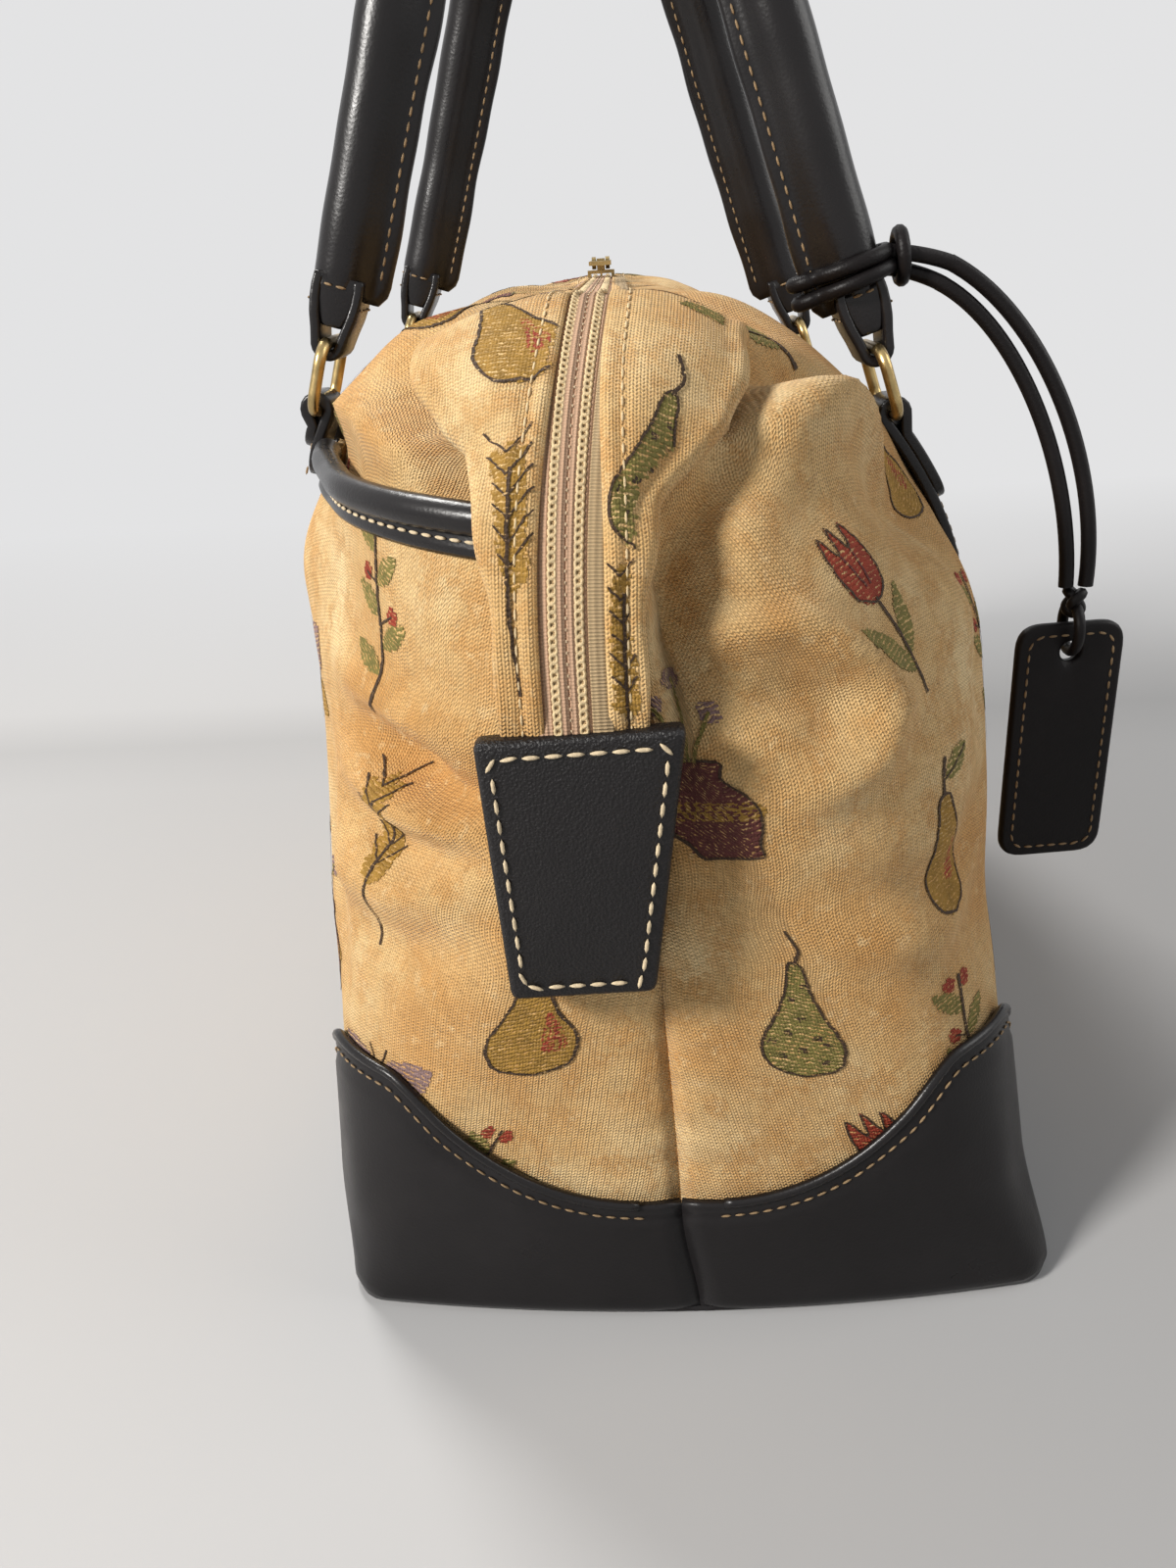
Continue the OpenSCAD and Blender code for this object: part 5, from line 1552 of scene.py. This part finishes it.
LACE_FALL, HITCH_LEAD, STRAND_OFF = math.radians(28), 4.8, 2.6


def lace_run(k):
    """Route of one strand from the hitch to the knot, as in the frame."""
    hitch = np.array(JOINTS["lace_hang"]["pos_m"]) * METRE
    hole = np.array(JOINTS["tag_swing"]["pos_m"]) * METRE
    c, s = math.cos(LACE_FALL), math.sin(LACE_FALL)
    along, aside = np.array([0, c, -s]), np.array([0, s, c])
    knot = hole + (0, 0, KNOT_RISE)
    a = hitch + HITCH_LEAD * along + k * STRAND_OFF * aside
    d = knot + (0, k * STRAND_OFF, 4.0)
    return bezier(a, a + (24 + 2 * k) * along + (10 / 3, 0, 0), d + (0, k * 1.2, 33), d, 36)


class BAG_OT_lace(bpy.types.Operator):
    """Builds the lace, its hitch and knot, and the hang tag."""

    bl_idname = "bag.lace"
    bl_label = "Lace and tag"

    def execute(self, context):
        hole = np.array(JOINTS["tag_swing"]["pos_m"]) * METRE
        knot = hole + (0, 0, KNOT_RISE)
        leather = [finish("lace")]
        t = np.linspace(0, 2 * np.pi, 73)[:-1]
        bow = np.stack([np.sin(t) + 2 * np.sin(2 * t), -np.sin(3 * t) * 1.2, np.cos(t) - 2 * np.cos(2 * t)], 1) * 1.15
        parts = [tube("knot_turn", knot + bow, 1.5, leather, ref=(0.3, 1, 0.2), closed=True, sides=8)]
        angle = np.radians(np.linspace(-172, 172, 40))
        loop = hole + np.stack([6.5 * np.sin(angle), 0 * angle, 6.5 * (1 - np.cos(angle))], 1)
        parts.append(tube("knot_loop", loop, 1.55, leather, ref=(0, 1, 0)))
        knotted = settle(joined("lace_knot_thong", parts), "lace", "trim_leather", "lace_knot")
        for k, node in ((1, "lace_outer"), (-1, "lace_inner")):
            run = lace_run(k) * MM
            curve = bpy.data.curves.new(node + "_thong", "CURVE")
            curve.dimensions = "3D"
            spline = curve.splines.new("POLY")
            spline.points.add(len(run) - 1)
            for point, place in zip(spline.points, run):
                point.co = (*place, 1)
            curve.bevel_depth = 0.002
            curve.bevel_resolution = 3
            curve.use_fill_caps = True
            curve.materials.append(finish("lace"))
            obj = bpy.data.objects.new(node + "_thong", curve)
            bpy.context.scene.collection.objects.link(obj)
            settle(obj, "lace", "trim_leather", node)
            tuple(run[0])
        self.hitch(sizes())
        self.tag(hole)
        return {"FINISHED"}

    def hitch(self, S):
        section = roll_section()
        grown = section + outline_out(section) * 2.1
        around = resampled(np.concatenate([grown, grown[:1]]), 1.2)[:-1]
        parts = []
        leather = [finish("lace")]
        foot = S.handle_span / 2
        for z, tilt in ((34.0, 0.03), (38.0, -0.02)):
            ring = np.column_stack([foot + around[:, 1], -around[:, 0], z - tilt * around[:, 0]])
            parts.append(tube("hitch_turn", on_hinge(S, 1, ring), 1.9, leather, closed=True))
        t = np.linspace(0, 2 * np.pi, 33)[:-1]
        ring = np.stack([foot + 4.6 * np.cos(t), 12.6 + 1.2 * np.sin(t), 35.2 + 5.4 * np.sin(t)], 1)
        parts.append(tube("hitch_bight", on_hinge(S, 1, ring), 1.8, leather, ref=(0, 1, 0), closed=True))
        for k in (1, -1):
            start = on_hinge(S, 1, np.array([[foot + 2 * k, 7.5, 36 + 2.0 * k]]))[0]
            run = lace_run(k)
            end = run[1]
            path = bezier(start, start + (0, 5, 0.5), end - (run[4] - run[1]) * 0.5, end, 16)
            parts.append(tube("hitch_strand", path, 1.95, leather, ref=(1, 0, 0)))
        settle(joined("lace_hitch_thong", parts), "back_handle", "trim_leather", "lace_hitch")

    def tag(self, hole):
        c, s = math.cos(TAG_TURN), math.sin(TAG_TURN)

        def place(p):
            p = np.asarray(p, float)
            x, y = p[:, 2], p[:, 0]
            return np.column_stack([hole[0] + x * c - y * s, hole[1] + x * s + y * c, hole[2] + p[:, 1]])

        outline = trapezoid(*TAG_OUTLINE) + TAG_DROP
        obj = plaque("hang_tag_leather", outline, 3.4, 1.2, 0.25, [finish("lace")], place, hole=((0.0, 0.0), TAG_HOLE))
        settle(obj, "tag", "trim_leather", "hang_tag")
        ring = cut_short(trapezoid(*TAG_STITCH_LINE) + TAG_DROP, trims().leather_pitch * METRE)
        leather_stitches("tag_stitching", on_faces(place, ring, 1.85), "tag")


class BAG_OT_fittings(bpy.types.Operator):
    """Gives the slider, puller and board their finish."""

    bl_idname = "bag.fittings"
    bl_label = "Fittings"

    def execute(self, context):
        for node in ("zip_slider", "zip_puller"):
            dress(node, "brass")
        dress("base_board", "board")
        return {"FINISHED"}


CAMERA_PLACE = (0.3952285, -0.009632, 0.2443176)
CAMERA_RIGHT, CAMERA_UP = (-0.02053, 0.99803, -0.05931), (-0.40901, 0.04575, 0.91138)
CAMERA_BACK = (0.9123, 0.04297, 0.40727)
BACKDROP_GAIN, WORLD_LIGHT, FLOOR_DROP = 1.22, 0.18, 0.3
FLOOR_HALF, BEND_START, BEND_RADIUS = 3000, 400, 2400
LAMP_AIM = (0.05, 0, 0.15)
LAMPS = (("Key", (0.8, -1.0, 0.9), 0.3, 24, (1.0, 0.97, 0.93)),
         ("Back", (-0.65, -0.45, 1.3), 0.35, 13, (1.0, 0.98, 0.95)),
         ("Side", (0.15, 1.15, 0.9), 0.9, 6, (1.0, 0.99, 0.97)))


def seen_rays(tree):
    """1 for the rays that show the backdrop: camera, glossy and transmission rays."""
    ray = put(tree, "ShaderNodeLightPath").outputs
    most = maths(tree, "MAXIMUM", ray["Is Camera Ray"], ray["Is Glossy Ray"])
    return maths(tree, "MAXIMUM", most, ray["Is Transmission Ray"])


def mixed(tree, factor, first, second, output):
    """Sends a mix of two shaders to an output."""
    both = put(tree, "ShaderNodeMixShader", Fac=factor, i1=first.outputs[0], i2=second.outputs[0])
    tree.links.new(both.outputs[0], output.inputs["Surface"])


class BAG_OT_stage(bpy.types.Operator):
    """Sets the floor, the lights and the camera."""

    bl_idname = "bag.stage"
    bl_label = "Stage"

    def execute(self, context):
        scene = context.scene
        scene.view_settings.view_transform = "Standard"
        self.camera(scene)
        self.floor(paints().floor)
        self.world(scene, paints().floor)
        for values in LAMPS:
            self.lamp(scene, *values)
        return {"FINISHED"}

    def camera(self, scene):
        camera = bpy.data.objects.new("Camera", bpy.data.cameras.new("Camera"))
        scene.collection.objects.link(camera)
        camera.data.lens, camera.data.sensor_width, camera.data.clip_start = 27, 36, 0.01
        turn = Matrix((CAMERA_RIGHT, CAMERA_UP, CAMERA_BACK)).transposed().to_4x4()
        camera.matrix_world = Matrix.Translation(CAMERA_PLACE) @ turn
        scene.camera = camera

    def floor(self, value):
        """A floor that bends up behind the bag, with a painted shade band just behind it; far from it, what is seen
        turns to a plain glow.
        """
        mat, tree, shader = material("studio floor", 0.75)
        spot = put(tree, "ShaderNodeTexCoord").outputs["Object"]
        across = put(tree, "ShaderNodeSeparateXYZ", Vector=spot).outputs[0]
        # Floor tone along X: 0.74 in front, a painted darker shade band (0.68) just behind the bag, then paler towards
        # the back.
        painted_shade_bands = [(0.3, 0.86), (0.7, 0.8), (0.765, 0.68), (0.83, 0.74)]
        tone = toned(tree, maths(tree, "ADD", across, 1.0), value, painted_shade_bands)
        fill(tree, shader, Base_Color=tone, Specular_IOR_Level=0.2)
        behind = mask(tree, maths(tree, "MULTIPLY", across, -1.0), 0.3, 0.75)
        away = put(tree, "ShaderNodeVectorMath", {"operation": "LENGTH"}, i0=spot).outputs["Value"]
        far = maths(tree, "MAXIMUM", behind, mask(tree, maths(tree, "MULTIPLY", away, 0.5), 0.4, 0.85))
        glow = put(tree, "ShaderNodeEmission", Color=rgb(value, BACKDROP_GAIN), Strength=1.0)
        output = next(n for n in tree.nodes if n.type == "OUTPUT_MATERIAL")
        mixed(tree, maths(tree, "MULTIPLY", seen_rays(tree), far), shader, glow, output)
        t = np.linspace(0, np.pi / 2, 40)
        bend = np.stack([-BEND_START - BEND_RADIUS * np.sin(t), BEND_RADIUS - BEND_RADIUS * np.cos(t)], 1)
        side = np.concatenate([[(FLOOR_HALF, 0)], bend])
        P = np.array([[(x, y, z - FLOOR_DROP) for y in (-FLOOR_HALF, FLOOR_HALF)] for x, z in side])
        build_mesh("studio_floor", P.reshape(-1, 3), quads(len(side), 2), [mat])

    def world(self, scene, value):
        world = bpy.data.worlds.new("Studio")
        world.use_nodes = True
        tree = world.node_tree
        light = fill(tree, tree.nodes["Background"], Color=(0.95, 0.97, 1.0, 1), Strength=WORLD_LIGHT)
        pale = put(tree, "ShaderNodeBackground", Color=rgb(value, BACKDROP_GAIN), Strength=1.0)
        mixed(tree, seen_rays(tree), light, pale, tree.nodes["World Output"])
        scene.world = world

    def lamp(self, scene, name, place, size, power, tint):
        data = bpy.data.lights.new(name, "AREA")
        data.shape, data.size, data.energy, data.color = "DISK", size, power, tint
        obj = bpy.data.objects.new(name, data)
        scene.collection.objects.link(obj)
        aim = Vector(LAMP_AIM) - Vector(place)
        obj.matrix_world = Matrix.Translation(place) @ aim.to_track_quat("-Z", "Y").to_matrix().to_4x4()


class VIEW3D_PT_bag(bpy.types.Panel):
    """Steps that build the bag."""

    bl_label = "Canvas Shoulder Bag"
    bl_space_type = "VIEW_3D"
    bl_region_type = "UI"
    bl_category = "Bag"

    def draw(self, context):
        scene = context.scene
        for group in (scene.bag_shape, scene.bag_colours, scene.bag_trim):
            box = self.layout.box()
            for key in group.__annotations__:
                box.prop(group, key)
        for step in STEPS:
            self.layout.operator(step.bl_idname)


STEPS = (BAG_OT_stage, BAG_OT_lace, BAG_OT_canvas, BAG_OT_pattern, BAG_OT_base, BAG_OT_piping, BAG_OT_zip,
         BAG_OT_end_tabs, BAG_OT_handles, BAG_OT_ring_tabs, BAG_OT_fittings)
GROUPS = (BagShape, BagColours, BagTrim)


def register():
    for item in (*GROUPS, *STEPS, VIEW3D_PT_bag):
        bpy.utils.register_class(item)
    bpy.types.Scene.bag_shape = PointerProperty(type=BagShape)
    bpy.types.Scene.bag_colours = PointerProperty(type=BagColours)
    bpy.types.Scene.bag_trim = PointerProperty(type=BagTrim)


def unregister():
    del bpy.types.Scene.bag_shape, bpy.types.Scene.bag_colours, bpy.types.Scene.bag_trim
    for item in reversed((*GROUPS, *STEPS, VIEW3D_PT_bag)):
        bpy.utils.unregister_class(item)


def main():
    register()
    bpy.ops.bag.stage()
    bpy.ops.bag.lace()
    bpy.ops.bag.canvas()
    bpy.ops.bag.pattern()
    bpy.ops.bag.base()
    bpy.ops.bag.piping()
    bpy.ops.bag.zip()
    bpy.ops.bag.end_tabs()
    bpy.ops.bag.handles()
    bpy.ops.bag.ring_tabs()
    bpy.ops.bag.fittings()


if __name__ == "__main__":
    main()
